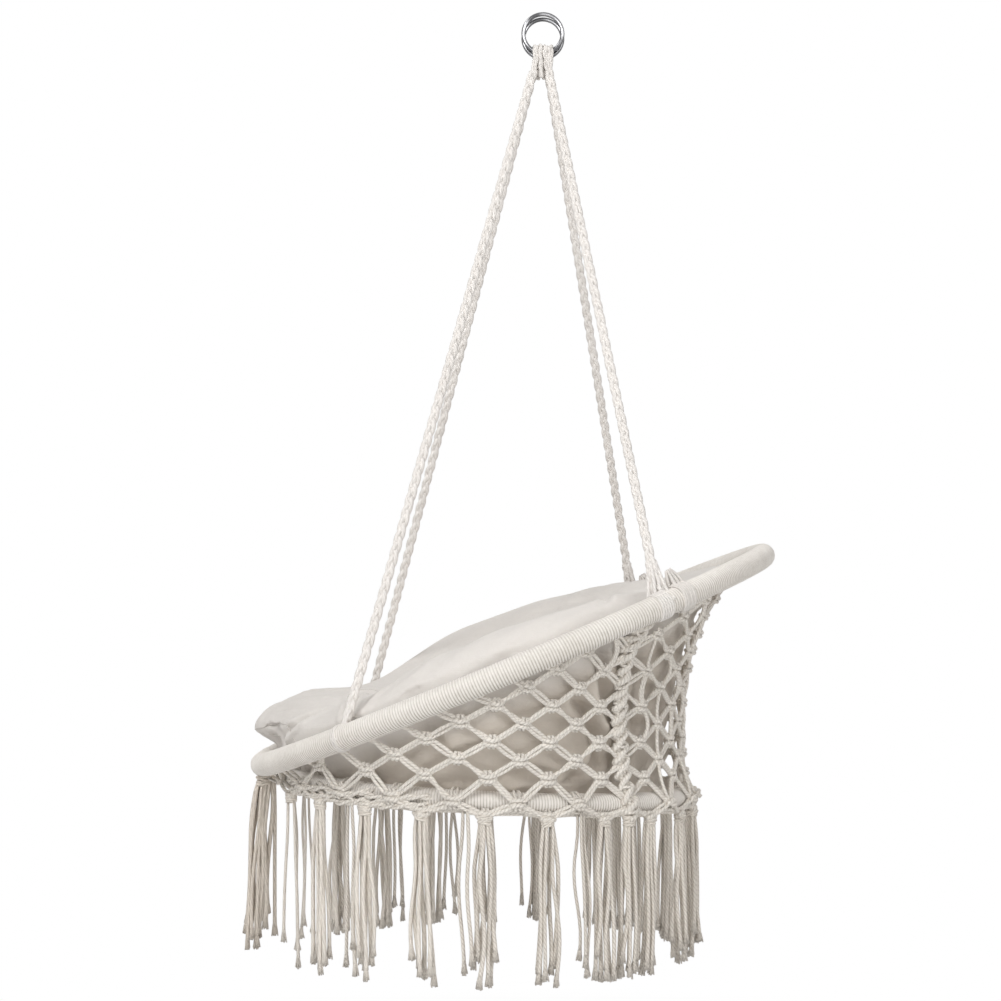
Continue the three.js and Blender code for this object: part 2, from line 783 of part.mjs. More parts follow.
// A bar of oval section that follows the net up one column, from the hem into the upper hoop
function columnLoft(column, width, thickness) {
  const hoop = hoopPoint(upperHoop, upperAngle(column));
  const topHeight = hoop.z - hoopPoint(lowerHoop, lowerAngle(column)).z;
  const approachShare = 0.82; // from here the column runs straight into the hoop
  const stations = [hemPoint(column)];
  for (let i = 0; i <= sennitSteps; i += 1) {
    stations.push(netPoint(column, (i / sennitSteps) * topHeight * approachShare));
  }
  stations.push(hoop);
  const rings = stations.map((place, i) => {
    const before = stations[Math.max(0, i - 1)];
    const after = stations[Math.min(stations.length - 1, i + 1)];
    const up = after.clone().sub(before).normalize();
    const frame = netFrame(column, Math.min(i / sennitSteps, approachShare) * topHeight);
    const across = frame.across.clone().addScaledVector(up, -frame.across.dot(up)).normalize();
    const normal = across.clone().cross(up);
    return Array.from({ length: sennitSides }, (_, side) => {
      const angle = ((side + 0.5) / sennitSides) * Math.PI * 2;
      return place
        .clone()
        .addScaledVector(across, (Math.cos(angle) * width) / 2)
        .addScaledVector(normal, (Math.sin(angle) * thickness) / 2);
    });
  });
  return solidOf(loft(rings));
}

const sennitColumns = { left: sennitColumnCount, right: netColumns - sennitColumnCount };

function sennitCutters() {
  const extra = 2 * netEndGap;
  return Object.values(sennitColumns).map((column) =>
    columnLoft(column, sennitWidth + extra, sennitThickness + extra),
  );
}

// The thick knotted columns from the rear ropes' ties down to the hem
function addSennits() {
  const bands = bandCutters();
  for (const [name, column] of Object.entries(sennitColumns)) {
    const bare = columnLoft(column, sennitWidth, sennitThickness);
    const whole = bare.subtract(cutters.upper).subtract(bands);
    addPart(`sennit_${name}`, geometryOf(largest(whole.subtract(cutters.lower))), cord);
  }
}

// The seat net fills the lower hoop with the same knots and cords
function addSeatNet() {
  const net = new NetMesh();
  const knots = new Map();
  const innerRadius = lowerRadius - lowerWrapRadius;
  const across = new THREE.Vector3(1, 0, 0);
  const normal = normalOf(lowerHoop);
  const frame = { across, normal, up: normal.clone().cross(across) };
  const place = (x, y) =>
    lowerHoop.centre
      .clone()
      .addScaledVector(frame.across, x * seatMeshPitch)
      .addScaledVector(frame.up, y * seatMeshPitch);
  const limit = Math.ceil(innerRadius / seatMeshPitch);
  for (let x = -limit; x <= limit; x += 1) {
    for (let y = -limit; y <= limit; y += 1) {
      if ((x + y) % 2 !== 0) continue;
      if (Math.hypot(x, y) * seatMeshPitch > innerRadius - seatMeshMargin) continue;
      knots.set(`${x},${y}`, { corners: net.knot(place(x, y), frame), frame, place: place(x, y) });
    }
  }
  knit(net, knots, (knot, x, y, stepX, stepY) => {
    const endRadius = innerRadius * Math.cos(Math.PI / lowerSteps) - netEndGap;
    const [fromX, fromY] = [x * seatMeshPitch, y * seatMeshPitch];
    const half = fromX * stepX + fromY * stepY;
    const length =
      (-half + Math.sqrt(half * half + 2 * (endRadius ** 2 - fromX ** 2 - fromY ** 2))) / 2;
    const [toX, toY] = [fromX + stepX * length, fromY + stepY * length];
    const out = new THREE.Vector3(toX, 0, 0).addScaledVector(frame.up, toY);
    const along = frame.across.clone().multiplyScalar(stepX).addScaledVector(frame.up, stepY);
    const left = normal.clone().cross(stepY > 0 ? along : along.negate());
    const rim = normal.clone().cross(out);
    rim.multiplyScalar(Math.sign(rim.dot(left)));
    return { at: lowerHoop.centre.clone().add(out), left: rim };
  });
  const [left, right] = lashingCutters();
  const whole = solidOf(net.geometry()).subtract(left).subtract(right);
  addPart("seat_net", geometryOf(largest(whole)), cord);
}

// Lashings round both hoops at the front

// The outline of a belt round two circles
function beltShape(centres, radii) {
  const [a, b] = centres;
  const between = b.clone().sub(a);
  const lean = Math.acos((radii[0] - radii[1]) / between.length());
  const heading = between.angle();
  const points = [];
  const arc = (centre, radius, from, to) => {
    for (let i = 0; i <= lashingArcSteps; i += 1) {
      const angle = THREE.MathUtils.lerp(from, to, i / lashingArcSteps);
      points.push(
        new THREE.Vector2(
          centre.x + radius * Math.cos(angle),
          centre.y + radius * Math.sin(angle),
        ),
      );
    }
  };
  arc(b, radii[1], heading - lean, heading + lean);
  arc(a, radii[0], heading + lean, heading + 2 * Math.PI - lean);
  return new THREE.Shape(points);
}

function lashingCentres(side) {
  const angle = lowerAngle(lashingColumnCount * side);
  const high = hoopPoint(upperHoop, upperAngle(lashingColumnCount * side));
  return { high, low: hoopPoint(lowerHoop, angle) };
}

// A belt's whole outline, without the space inside it
function lashingBelt(side, standoff, extraWidth = 0) {
  const { high, low } = lashingCentres(side);
  const centres = [new THREE.Vector2(high.y, high.z), new THREE.Vector2(low.y, low.z)];
  const radii = [upperWrapRadius + standoff, lowerWrapRadius + standoff];
  const width = lashingWidth + extraWidth;
  const toRow = new THREE.Matrix4().makeBasis(
    new THREE.Vector3(0, 1, 0),
    new THREE.Vector3(0, 0, 1),
    new THREE.Vector3(1, 0, 0),
  );
  return new THREE.ExtrudeGeometry(beltShape(centres, radii), { depth: width, bevelEnabled: false })
    .translate(0, 0, -width / 2)
    .applyMatrix4(toRow)
    .translate((side * (Math.abs(high.x) + Math.abs(low.x))) / 2, 0, 0);
}

function lashingCutters() {
  const standoff = lashingSlack + lashingThickness + clearance;
  return [1, -1].map((side) => solidOf(lashingBelt(side, standoff, 2 * netEndGap)));
}

function addLashings() {
  for (const [name, side] of [["left", 1], ["right", -1]]) {
    const outside = solidOf(lashingBelt(side, lashingSlack + lashingThickness));
    const inside = solidOf(lashingBelt(side, lashingSlack, lashingWidth));
    const belt = outside.subtract(inside).subtract(cutters.upper).subtract(cutters.lower);
    addPart(`front_lashing_${name}`, geometryOf(largest(belt)), cord);
  }
}

// The fringe

// A steady scatter between -1 and 1
function scatter(seed) {
  const raw = Math.sin(seed * 12.9898) * 43758.5453;
  return 2 * (raw - Math.floor(raw)) - 1;
}

function tassel(top, endZ, seed) {
  const headEnd = top.clone().setZ(top.z - tasselHeadHeight);
  const shoulderShare = 0.7;
  const head = loft(
    [[0, shoulderShare], [0.3, 1], [1, 1]].map(([depthShare, widthShare]) =>
      Array.from({ length: tasselHeadSides }, (_, i) => {
        const angle = (i / tasselHeadSides) * Math.PI * 2;
        const radius = tasselHeadRadius * widthShare;
        return new THREE.Vector3(
          top.x + radius * Math.cos(angle),
          top.y + radius * Math.sin(angle),
          top.z - tasselHeadHeight * depthShare,
        );
      }),
    ),
  );
  const strands = Array.from({ length: strandCount }, (_, i) => {
    const direction = ((i + 0.4 * scatter(seed + i)) / (strandCount - 1)) * Math.PI * 2;
    const end = endZ + strandUneven * (scatter(seed * 3 + i) + 1) * 0.5;
    const stations = [[headEnd.z + strandRadius, strandTopSpread], [end, strandEndSpread]];
    const rings = stations.map(([z, spread]) =>
      Array.from({ length: strandSides }, (_, side) => {
        const angle = direction + (side / strandSides) * Math.PI * 2;
        const reach = i === 0 ? 0 : spread;
        return new THREE.Vector3(
          top.x + reach * Math.cos(direction) + strandRadius * Math.cos(angle),
          top.y + reach * Math.sin(direction) + strandRadius * Math.sin(angle),
          z,
        );
      }),
    );
    return loft(rings);
  });
  return joined([head, ...strands]);
}

function addTassels() {
  // A tassel that comes with a cutter starts inside what it hangs from, and is cut to fit it
  const hang = (name, under, endZ, seed, cutter) => {
    under.z += cutter ? tasselBite : -clearance;
    const whole = tassel(under, endZ, seed);
    addPart(name, geometryOf(cutter ? largest(whole.subtract(cutter)) : whole), cord);
  };
  let number = 0;
  const firstHalfColumn = sidePanelStarts[0] + 1;
  for (let x = firstHalfColumn; x < 2 * netColumns - 1; x += 2) {
    number += 1;
    const name = `tassel_${String(number).padStart(2, "0")}`;
    const under = hemPoint(x / 2);
    const { up, normal } = netFrame(x / 2, 0);
    under.z -= (up.z * knotHeight + Math.abs(normal.z) * netThickness) / 2;
    hang(name, under, tasselEndZ, number);
  }
  for (const [name, column] of [["left", sennitColumnCount], ["right", netColumns - sennitColumnCount]]) {
    const around = columnLoft(column, sennitWidth + 2 * clearance, sennitThickness + 2 * clearance);
    const cutter = around.translate([0, 0, -clearance]);
    hang(`tassel_sennit_${name}`, hemPoint(column), tasselEndZ, column * 7, cutter);
  }
  const beltCutters = lashingCutters();
  for (const [i, name, side] of [[0, "left", 1], [1, "right", -1]]) {
    const { high } = lashingCentres(side);
    high.z -= upperWrapRadius + lashingSlack + lashingThickness;
    const endZ = tasselEndZ + frontTasselRise;
    hang(`tassel_front_${name}`, high, endZ, 40 + side, beltCutters[i]);
  }
}

// The cushion

function crestHeight(side) {
  const degrees = THREE.MathUtils.radToDeg(side);
  const last = cushionCrestStops.findIndex(([stop]) => stop >= degrees - 1e-9);
  const [to, high] = cushionCrestStops[Math.max(1, last)];
  const [from, low] = cushionCrestStops[Math.max(1, last) - 1];
  return THREE.MathUtils.lerp(low, high, (degrees - from) / (to - from));
}

function cushionProfile(angle) {
  const { lerp, smoothstep } = THREE.MathUtils;
  const side = Math.abs(Math.atan2(Math.sin(angle), Math.cos(angle)));
  const cosine = Math.cos(angle);
  const corner = Math.exp(-((side / cornerHalfAngle) ** 2));
  const frontShare = smoothstep(cosine, cornerSweepShare, 1);
  const rearShare = smoothstep(-cosine, 0, 1);
  const channelShare = (1 - Math.cos(cushionChannels * angle)) / 2;
  const channelDepth = cushionChannelDepth * channelShare;
  const rise = crestHeight(side) - cushionCrestTilt * Math.sin(angle);
  const rimRadius = upperRadius - cushionRimGap - cushionRearLean * rearShare;
  const seatRadius = lowerRadius - lerp(cushionSeatInset, cushionSeatRearInset, rearShare);
  const floor = netThickness / 2 + netEndGap;
  const overLower = lowerWrapRadius + cushionSideGap;
  const overUpper = upperWrapRadius + tieBandThickness + 2 * clearance;
  const low = (radius, height) => planePoint(lowerHoop, radius, angle, height);
  const high = (radius, height) => planePoint(upperHoop, radius, angle, height);
  const column = (angle / Math.PI / 2) * netColumns;
  const room = high(upperRadius, 0).z - low(lowerRadius, 0).z;
  const gap = netThickness / 2 + lerp(cushionSideGap, cushionRearGap, rearShare);
  const inward = new THREE.Vector3(-Math.sin(angle), cosine, 0);
  const besideNet = (share) => {
    return netPoint(column, room * share, netStandoff).addScaledVector(inward, gap);
  };
  const overFrontHoop = low(lowerRadius - overLower / 2, overLower + clearance);
  const insideFrontHoop = high(rimRadius - overLower, overLower / 2);
  const cornerReach = upperRadius - cornerInset;
  const crestRadius = upperRadius * lerp(cushionCrestShare, cornerCrestShare, corner);
  const bowlHeight = cushionSeatHeight + cushionCrown;
  return [
    low(seatRadius * cushionBottomShare, floor),
    low(seatRadius, floor),
    low(seatRadius + overLower * cushionShoulderShare, overLower),
    besideNet(cushionHipShare).lerp(overFrontHoop, frontShare),
    besideNet(cushionWaistShare).lerp(insideFrontHoop, frontShare),
    high(rimRadius - clearance * corner, (overUpper / 2) * corner),
    high(
      lerp(rimRadius, cornerReach - cornerUndercut, corner),
      lerp(Math.min(overUpper, rise * cushionRimShare), overUpper + 2 * clearance, corner),
    ),
    high(
      lerp(rimRadius - cushionCrown, cornerReach, corner),
      lerp(rise * cushionEdgeShare, cornerHeight, corner),
    ),
    high(crestRadius, rise),
    high(upperRadius * cushionSlopeShare, rise * cushionSlopeRiseShare - channelDepth),
    high(upperRadius * cushionBackShare, lerp(-cushionBackDepth, cushionFrontFill, frontShare)),
    low(lowerRadius * cushionBowlShare, bowlHeight - channelDepth),
    low(lowerRadius * cushionMiddleShare, bowlHeight),
  ];
}

function addCushion() {
  const profiles = Array.from({ length: cushionSegments }, (_, i) =>
    cushionProfile((i / cushionSegments) * Math.PI * 2),
  );
  const rings = profiles[0].map((_, row) => profiles.map((profile) => profile[row]));
  const floorPole = planePoint(lowerHoop, 0, 0, netThickness / 2 + netEndGap);
  const seatPole = planePoint(lowerHoop, 0, 0, cushionSeatHeight);
  let pad = solidOf(loft([[floorPole], ...rings, [seatPole]]));
  for (const rope of ropes) {
    const { foot } = ropeEnds(rope);
    const top = ropeFoot(rope);
    const width = rope.rear ? rearTieWidth : frontTieWidth;
    const grooveRadius = ropeRadius + ropeCutClearance;
    const groove = bar(foot, ropeEnds(rope).top, grooveRadius, grooveRadius, ropeSides);
    const hollow = bar(foot, top, width / 2 + ropeCutClearance, grooveRadius, ropeSides);
    pad = pad.subtract(solidOf(groove)).subtract(solidOf(hollow));
  }
  for (const cutter of lashingCutters()) pad = pad.subtract(cutter);
  addPart("cushion", geometryOf(pad), cover);
}

addRings();
addHead();
addRopes();
addHoops();
addRopeTies();
addCushionStraps();
addSideNets();
addSennits();
addSeatNet();
addLashings();
addTassels();
addCushion();

export default chair;
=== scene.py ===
import math
import random

import bpy
import numpy as np
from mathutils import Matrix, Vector
from mathutils.bvhtree import BVHTree


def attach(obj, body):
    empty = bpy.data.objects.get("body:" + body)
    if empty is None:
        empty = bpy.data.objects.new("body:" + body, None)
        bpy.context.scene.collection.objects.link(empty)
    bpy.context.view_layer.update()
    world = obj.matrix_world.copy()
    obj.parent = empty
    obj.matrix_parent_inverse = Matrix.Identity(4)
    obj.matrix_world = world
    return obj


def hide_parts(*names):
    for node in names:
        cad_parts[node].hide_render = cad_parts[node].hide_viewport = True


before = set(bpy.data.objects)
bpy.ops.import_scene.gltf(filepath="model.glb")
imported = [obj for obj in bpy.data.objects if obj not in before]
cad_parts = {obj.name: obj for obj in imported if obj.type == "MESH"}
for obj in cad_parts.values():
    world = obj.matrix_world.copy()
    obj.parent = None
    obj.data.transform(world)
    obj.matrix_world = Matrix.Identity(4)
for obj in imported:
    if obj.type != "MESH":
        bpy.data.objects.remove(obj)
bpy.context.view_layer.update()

scene = bpy.context.scene
rng = random.Random(7)


def report(text):
    print("hammock chair:", text)


def linear(red, green, blue):
    # a colour as the eye names it, turned into the numbers that a shader wants
    return tuple(c / 12.92 if c < 0.04 else ((c + 0.055) / 1.055) ** 2.4 for c in (red, green, blue)) + (1.0,)


# camera, where the photo was taken from: level with the seat, on the sitter's left
cameraSettings = {
    "place": (3.450, -0.061, -0.804),
    "pitchUp": 1.8,
    "lens": 86.9,
    "sensor": 36.0,
    "focalPixels": 2416.1,  # nearly the same view, as a level camera's in the photo's pixels
    "middlePixel": (500.5, 576),
}

camera = bpy.data.objects.new("camera", bpy.data.cameras.new("camera"))
scene.collection.objects.link(camera)
camera.location = cameraSettings["place"]
camera.rotation_euler = (math.radians(90 + cameraSettings["pitchUp"]), 0, math.radians(90))
camera.data.lens = cameraSettings["lens"]
camera.data.sensor_width = cameraSettings["sensor"]
camera.data.clip_end = 60
scene.camera = camera
scene.view_settings.view_transform = "Standard"
report("camera set")


# small helpers for node trees

def makeGroup(name, inputs, outputs):
    group = bpy.data.node_groups.new(name, "ShaderNodeTree")
    for label, kind, value in inputs:
        socket = group.interface.new_socket(name=label, in_out="INPUT", socket_type=kind)
        if value is not None:
            socket.default_value = value
    for label, kind in outputs:
        group.interface.new_socket(name=label, in_out="OUTPUT", socket_type=kind)
    return group, group.nodes.new("NodeGroupInput"), group.nodes.new("NodeGroupOutput")


def fill(tree, node, inputs):
    # gives each input a value, or joins it to another node's output
    for label, value in inputs.items():
        if isinstance(value, bpy.types.NodeSocket):
            tree.links.new(value, node.inputs[label])
        else:
            node.inputs[label].default_value = value


def addNode(tree, kind, inputs, **settings):
    node = tree.nodes.new("ShaderNode" + kind)
    for name, value in settings.items():
        setattr(node, name, value)
    fill(tree, node, inputs)
    return node


def addMath(tree, operation, first, second=None, clamp=False):
    inputs = {0: first} if second is None else {0: first, 1: second}
    return addNode(tree, "Math", inputs, operation=operation, use_clamp=clamp).outputs[0]


def times(tree, first, second, clamp=False):
    return addMath(tree, "MULTIPLY", first, second, clamp)


def plus(tree, first, second, clamp=False):
    return addMath(tree, "ADD", first, second, clamp)


def minus(tree, first, second, clamp=False):
    return addMath(tree, "SUBTRACT", first, second, clamp)


def coordinate(tree, kind):
    return addNode(tree, "TexCoord", {}).outputs[kind]


def partsOf(tree, vector):
    return addNode(tree, "SeparateXYZ", {0: vector}).outputs


def addNoise(tree, vector, scale, detail, roughness=0.6):
    inputs = {"Vector": vector, "Scale": scale, "Detail": detail, "Roughness": roughness}
    return addNode(tree, "TexNoise", inputs).outputs["Fac"]


def addMix(tree, factor, first, second, blend="MIX"):
    inputs = {"Factor": factor, "A": first, "B": second}
    return addNode(tree, "Mix", inputs, data_type="RGBA", blend_type=blend).outputs["Result"]


# cotton fibre: mottled colour, painted shade in the grooves between strands, and a fuzzy height, in the
# piece's own space
fibreSettings = {
    "broad": (9.0, 2.0),  # noise: scale, detail and roughness
    "mottle": (160.0, 3.0),
    "fuzz": (1400.0, 2.0, 0.7),
    "dirtAndShade": 0.35,
    "clean": 0.25,
}


def makeFibreGroup(settings):
    group, start, end = makeGroup(
        "cottonFibre",
        [("Color", "NodeSocketColor", (0.8, 0.8, 0.8, 1)), ("Shade", "NodeSocketColor", (0.5, 0.5, 0.5, 1)),
         ("GrooveShade", "NodeSocketFloat", 0.0)],
        [("Color", "NodeSocketColor"), ("Height", "NodeSocketFloat")])
    place = coordinate(group, "Object")
    broad, mottle, fuzz = [addNoise(group, place, *settings[kind]) for kind in ("broad", "mottle", "fuzz")]
    dirtAndShade = plus(group, times(group, broad, settings["dirtAndShade"]), times(group, mottle, settings["dirtAndShade"]))
    dirtAndShade = minus(group, dirtAndShade, settings["clean"], clamp=True)
    # painted shade: the groove mask darkens the colour towards the shade colour, on top of the mottle
    shade = plus(group, dirtAndShade, start.outputs["GrooveShade"], clamp=True)
    fill(group, end, {
        "Color": addMix(group, shade, start.outputs["Color"], start.outputs["Shade"]),
        "Height": plus(group, times(group, fuzz, 0.5), times(group, mottle, 0.5)),
    })
    return group


def makeTwistGroup():
    # strands twisted round each other: u goes round the cord and v runs along it in metres; the groove output
    # is painted shade in the hollows between the strands
    group, start, end = makeGroup(
        "twistedStrands",
        [("Strands", "NodeSocketFloat", 3.0), ("Turns", "NodeSocketFloat", 90.0)],
        [("Height", "NodeSocketFloat"), ("GrooveShade", "NodeSocketFloat")])
    spot = partsOf(group, coordinate(group, "UV"))
    around = times(group, spot["X"], start.outputs["Strands"])
    along = times(group, spot["Y"], start.outputs["Turns"])
    phase = times(group, plus(group, around, along), math.pi)
    lobe = addMath(group, "ABSOLUTE", addMath(group, "SINE", phase))
    fill(group, end, {
        "Height": addMath(group, "POWER", lobe, 0.6),
        "GrooveShade": addMath(group, "POWER", minus(group, 1.0, lobe), 3.0),
    })
    return group


fibreGroup = makeFibreGroup(fibreSettings)
twistGroup = makeTwistGroup()


def newMaterial(name, roughness):
    material = bpy.data.materials.new(name)
    material.use_nodes = True
    shader = material.node_tree.nodes["Principled BSDF"]
    shader.inputs["Roughness"].default_value = roughness
    return material, material.node_tree, shader


def finishCloth(tree, shader, color, height, distance, strength, sheen, sheenRoughness):
    bump = addNode(tree, "Bump", {"Strength": strength, "Distance": distance, "Height": height})
    fill(tree, shader, {"Base Color": color, "Normal": bump.outputs["Normal"], "Sheen Weight": sheen,
                        "Sheen Roughness": sheenRoughness})


def makeCordMaterial(name, look):
    material, tree, shader = newMaterial(name, look["roughness"])
    fibre = addNode(tree, "Group", {}, node_tree=fibreGroup)
    fill(tree, fibre, {"Color": look["color"], "Shade": look["shade"]})
    height = fibre.outputs["Height"]
    if "wound" in look:
        spot = partsOf(tree, coordinate(tree, "UV"))
        dip = addMath(tree, "ABSOLUTE", addMath(tree, "SINE", times(tree, spot["Y"], math.pi)))
        # painted shade in the grooves between the turns, heavier under the hoop than on top of it, where less
        # light falls
        above = addMath(tree, "SINE", times(tree, spot["X"], 2 * math.pi))
        strength = minus(tree, look["wound"]["dirtAndShade"], times(tree, above, look["wound"]["shadeUnderHoop"]))
        fill(tree, fibre, {"GrooveShade": times(tree, addMath(tree, "POWER", dip, 4.0), strength)})
    if "strands" in look:
        twist = addNode(tree, "Group", {}, node_tree=twistGroup)
        fill(tree, twist, {"Strands": look["strands"], "Turns": look["turns"]})
        # painted shade in the hollows of the twist, darkening the cord's colour
        fill(tree, fibre, {"GrooveShade": times(tree, twist.outputs["GrooveShade"], look["groove"])})
        height = plus(tree, times(tree, height, look["fuzz"]), twist.outputs["Height"])
    finishCloth(tree, shader, fibre.outputs["Color"], height, look["bump"], 1.0, 0.1, 0.6)
    return material


def cordLook(color, shade, bump, roughness=0.9, **more):
    return {"color": linear(*color), "shade": linear(*shade), "bump": bump, "roughness": roughness, **more}


def twisted(strands, turns, groove, fuzz):
    # ribs round the cord and along a metre of it, how dark the painted shade in the grooves is and how fuzzy
    # it is
    return {"strands": strands, "turns": turns, "groove": groove, "fuzz": fuzz}


cordLooks = {
    "netCord": cordLook((0.965, 0.945, 0.915), (0.72, 0.675, 0.62), 0.0009, **twisted(2, 170, 0.34, 0.3)),
    "ropeStrand": cordLook((0.955, 0.94, 0.925), (0.74, 0.71, 0.68), 0.0005, **twisted(3, 120, 0.2, 0.2)),
    "wrapCord": cordLook((0.965, 0.95, 0.93), (0.66, 0.62, 0.57), 0.0004,
                         wound={"dirtAndShade": 0.55, "shadeUnderHoop": 0.30}),
    "knotCord": cordLook((0.965, 0.945, 0.915), (0.68, 0.635, 0.58), 0.0009, **twisted(2, 200, 0.4, 0.3)),
    "fringeCord": cordLook((0.945, 0.92, 0.885), (0.70, 0.655, 0.60), 0.0007, 0.92,
                           **twisted(3, 60, 0.16, 0.5)),
    # a darker copy of the fringe cord: painted shade for the front tassels, which hang in the chair's shadow
    "fringeShade": cordLook((0.90, 0.865, 0.82), (0.58, 0.53, 0.47), 0.0007, 0.92,
                            **twisted(3, 60, 0.26, 0.5)),
    "fringeTwist": cordLook((0.945, 0.92, 0.885), (0.66, 0.61, 0.55), 0.0009, 0.92,
                            **twisted(3, 150, 0.42, 0.35)),
    "cushionThread": cordLook((0.86, 0.84, 0.82), (0.68, 0.65, 0.62), 0.0004, **twisted(2, 320, 0.6, 0.3)),
}
cordMaterials = {name: makeCordMaterial(name, look) for name, look in cordLooks.items()}


# cushion cloth, with painted shade: darker and warmer on the side under the hoop, where the hoop and net
# shade it
clothLook = {
    "color": linear(0.895, 0.878, 0.86),
    "shade": linear(0.80, 0.775, 0.75),
    "paintedSideShade": linear(0.93, 0.91, 0.88),
    "roughness": 0.92,
    "threads": 900.0,  # per metre
    "wrinkles": (26.0, 4.0, 0.55),
    "weave": 0.04,
    "wrinkle": 2.2,
    "fuzz": 0.08,
    "bump": 0.0016,
    "tilt": 0.4163,  # the plane through the hoop: its slope and its level
    "hoopLevel": 0.918,
    "middleY": -0.081,
    "fade": 22.0,
    "turnedOut": 12.0,
}


def makeClothMaterial(look):
    material, tree, shader = newMaterial("cushionCloth", look["roughness"])
    fibre = addNode(tree, "Group", {}, node_tree=fibreGroup)
    fill(tree, fibre, {"Color": look["color"], "Shade": look["shade"]})
    place = coordinate(tree, "Object")
    spot = partsOf(tree, place)
    facing = partsOf(tree, coordinate(tree, "Normal"))
    # painted shade mask: parts below the hoop's plane that turn outwards take the darker, warmer side colour
    below = minus(tree, times(tree, spot["Y"], look["tilt"]), spot["Z"])
    below = times(tree, minus(tree, below, look["hoopLevel"]), look["fade"], clamp=True)
    sideways = plus(tree, times(tree, facing["X"], spot["X"]),
                    times(tree, facing["Y"], minus(tree, spot["Y"], look["middleY"])))
    below = times(tree, below, times(tree, sideways, look["turnedOut"], clamp=True))
    sideShade = addMix(tree, below, (1.0, 1.0, 1.0, 1.0), look["paintedSideShade"])
    color = addMix(tree, 1.0, fibre.outputs["Color"], sideShade, "MULTIPLY")
    waves = [addMath(tree, "SINE", times(tree, spot[axis], look["threads"] * math.pi)) for axis in "XYZ"]
    weave = plus(tree, times(tree, waves[0], waves[1]), waves[2])
    wrinkle = addNoise(tree, place, *look["wrinkles"])
    height = plus(tree, times(tree, weave, look["weave"]), times(tree, wrinkle, look["wrinkle"]))
    height = plus(tree, height, times(tree, fibre.outputs["Height"], look["fuzz"]))
    finishCloth(tree, shader, color, height, look["bump"], 0.8, 0.12, 0.5)
    return material


# polished wire with painted reflections: a bright line along its middle and dark sides, with long dark
# stretches between, all painted into the base colour
steelSettings = {"scuff": (340.0, 5.0, 0.7), "scuffed": 0.12, "reflectionStretch": (34.0, 1.0, 0.4), "darkFrom": 0.42,
                 "reflectionEdgesAt": (0.07, 0.18, 0.42)}


def dimmed(color, share):
    return tuple(c * share for c in color[:3]) + (1,)


def makeSteelMaterial(name, color, roughness, reflectionEdges, settings=steelSettings):
    material, tree, shader = newMaterial(name, roughness)
    place = coordinate(tree, "Object")
    # painted reflection: the colour darkens towards the sides as the wire turns away from the camera
    facing = addNode(tree, "LayerWeight", {"Blend": 0.5}).outputs["Facing"]
    ramp = addNode(tree, "ValToRGB", {"Fac": facing})
    stops = ramp.color_ramp.elements
    stops[0].position, stops[1].position = 0.0, 1.0
    stops[0].color, stops[1].color = color, dimmed(color, reflectionEdges[-1])
    for position, share in zip(settings["reflectionEdgesAt"], reflectionEdges):
        stops.new(position).color = dimmed(color, share)
    scuff, reflectionStretch = addNoise(tree, place, *settings["scuff"]), addNoise(tree, place, *settings["reflectionStretch"])
    # painted reflection: long dark stretches along the wire
    dark = times(tree, minus(tree, reflectionStretch, settings["darkFrom"]), 5.0, clamp=True)
    fill(tree, shader, {
        "Base Color": addMix(tree, dark, ramp.outputs["Color"], dimmed(color, reflectionEdges[1] * 0.6)),
        "Roughness": plus(tree, times(tree, scuff, settings["scuffed"]), roughness),
        "Metallic": 1.0,
    })
    return material


cushionCloth = makeClothMaterial(clothLook)
ringSteel = makeSteelMaterial("ringSteel", linear(0.78, 0.78, 0.79), 0.16, (0.7, 0.40, 0.24, 0.14))
tubeSteel = makeSteelMaterial("tubeSteel", linear(0.72, 0.73, 0.74), 0.35, (1.0, 0.9, 0.8, 0.7))
report("materials made")


# pieces made from points

def makePiece(name, points, faces, material, nodes=(), uv=None, body="chair"):
    mesh = bpy.data.meshes.new(name)
    mesh.from_pydata(np.asarray(points).tolist(), [], faces)
    if uv is not None:
        mesh.uv_layers.new(name="along").data.foreach_set("uv", np.asarray(uv, dtype=np.float32).ravel())
    mesh.polygons.foreach_set("use_smooth", [True] * len(mesh.polygons))
    mesh.materials.append(material)
    mesh.update()
    piece = bpy.data.objects.new(name, mesh)
    scene.collection.objects.link(piece)
    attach(piece, body)
    if nodes:
        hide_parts(*nodes)
    return piece


def unit(vector):
    return vector / np.linalg.norm(vector)


def level(vector):
    return unit(np.array([vector[0], vector[1], 0.0]))


def mixed(a, b, t):
    return a + (b - a) * t


def smoothstep(value, low, high):
    t = min(1.0, max(0.0, (value - low) / (high - low)))
    return t * t * (3 - 2 * t)


def pathLengths(path):
    return np.concatenate([[0.0], np.cumsum(np.linalg.norm(np.diff(path, axis=0), axis=1))])


def alongPath(path, lengths, station):
    return np.stack([np.interp(station, lengths, path[:, k]) for k in range(3)], axis=-1)


def smoothPath(corners, steps):
    # a smooth line through the corners
    corners = [np.asarray(c, dtype=float) for c in corners]
    padded = [2 * corners[0] - corners[1]] + corners + [2 * corners[-1] - corners[-2]]
    points = []
    for i in range(1, len(padded) - 2):
        before, start, end, after = padded[i - 1:i + 3]
        for t in np.linspace(0, 1, steps, endpoint=False):
            points.append(0.5 * (2 * start + (end - before) * t
                                 + (2 * before - 5 * start + 4 * end - after) * t ** 2
                                 + (3 * start - before - 3 * end + after) * t ** 3))
    points.append(corners[-1])
    return np.array(points)


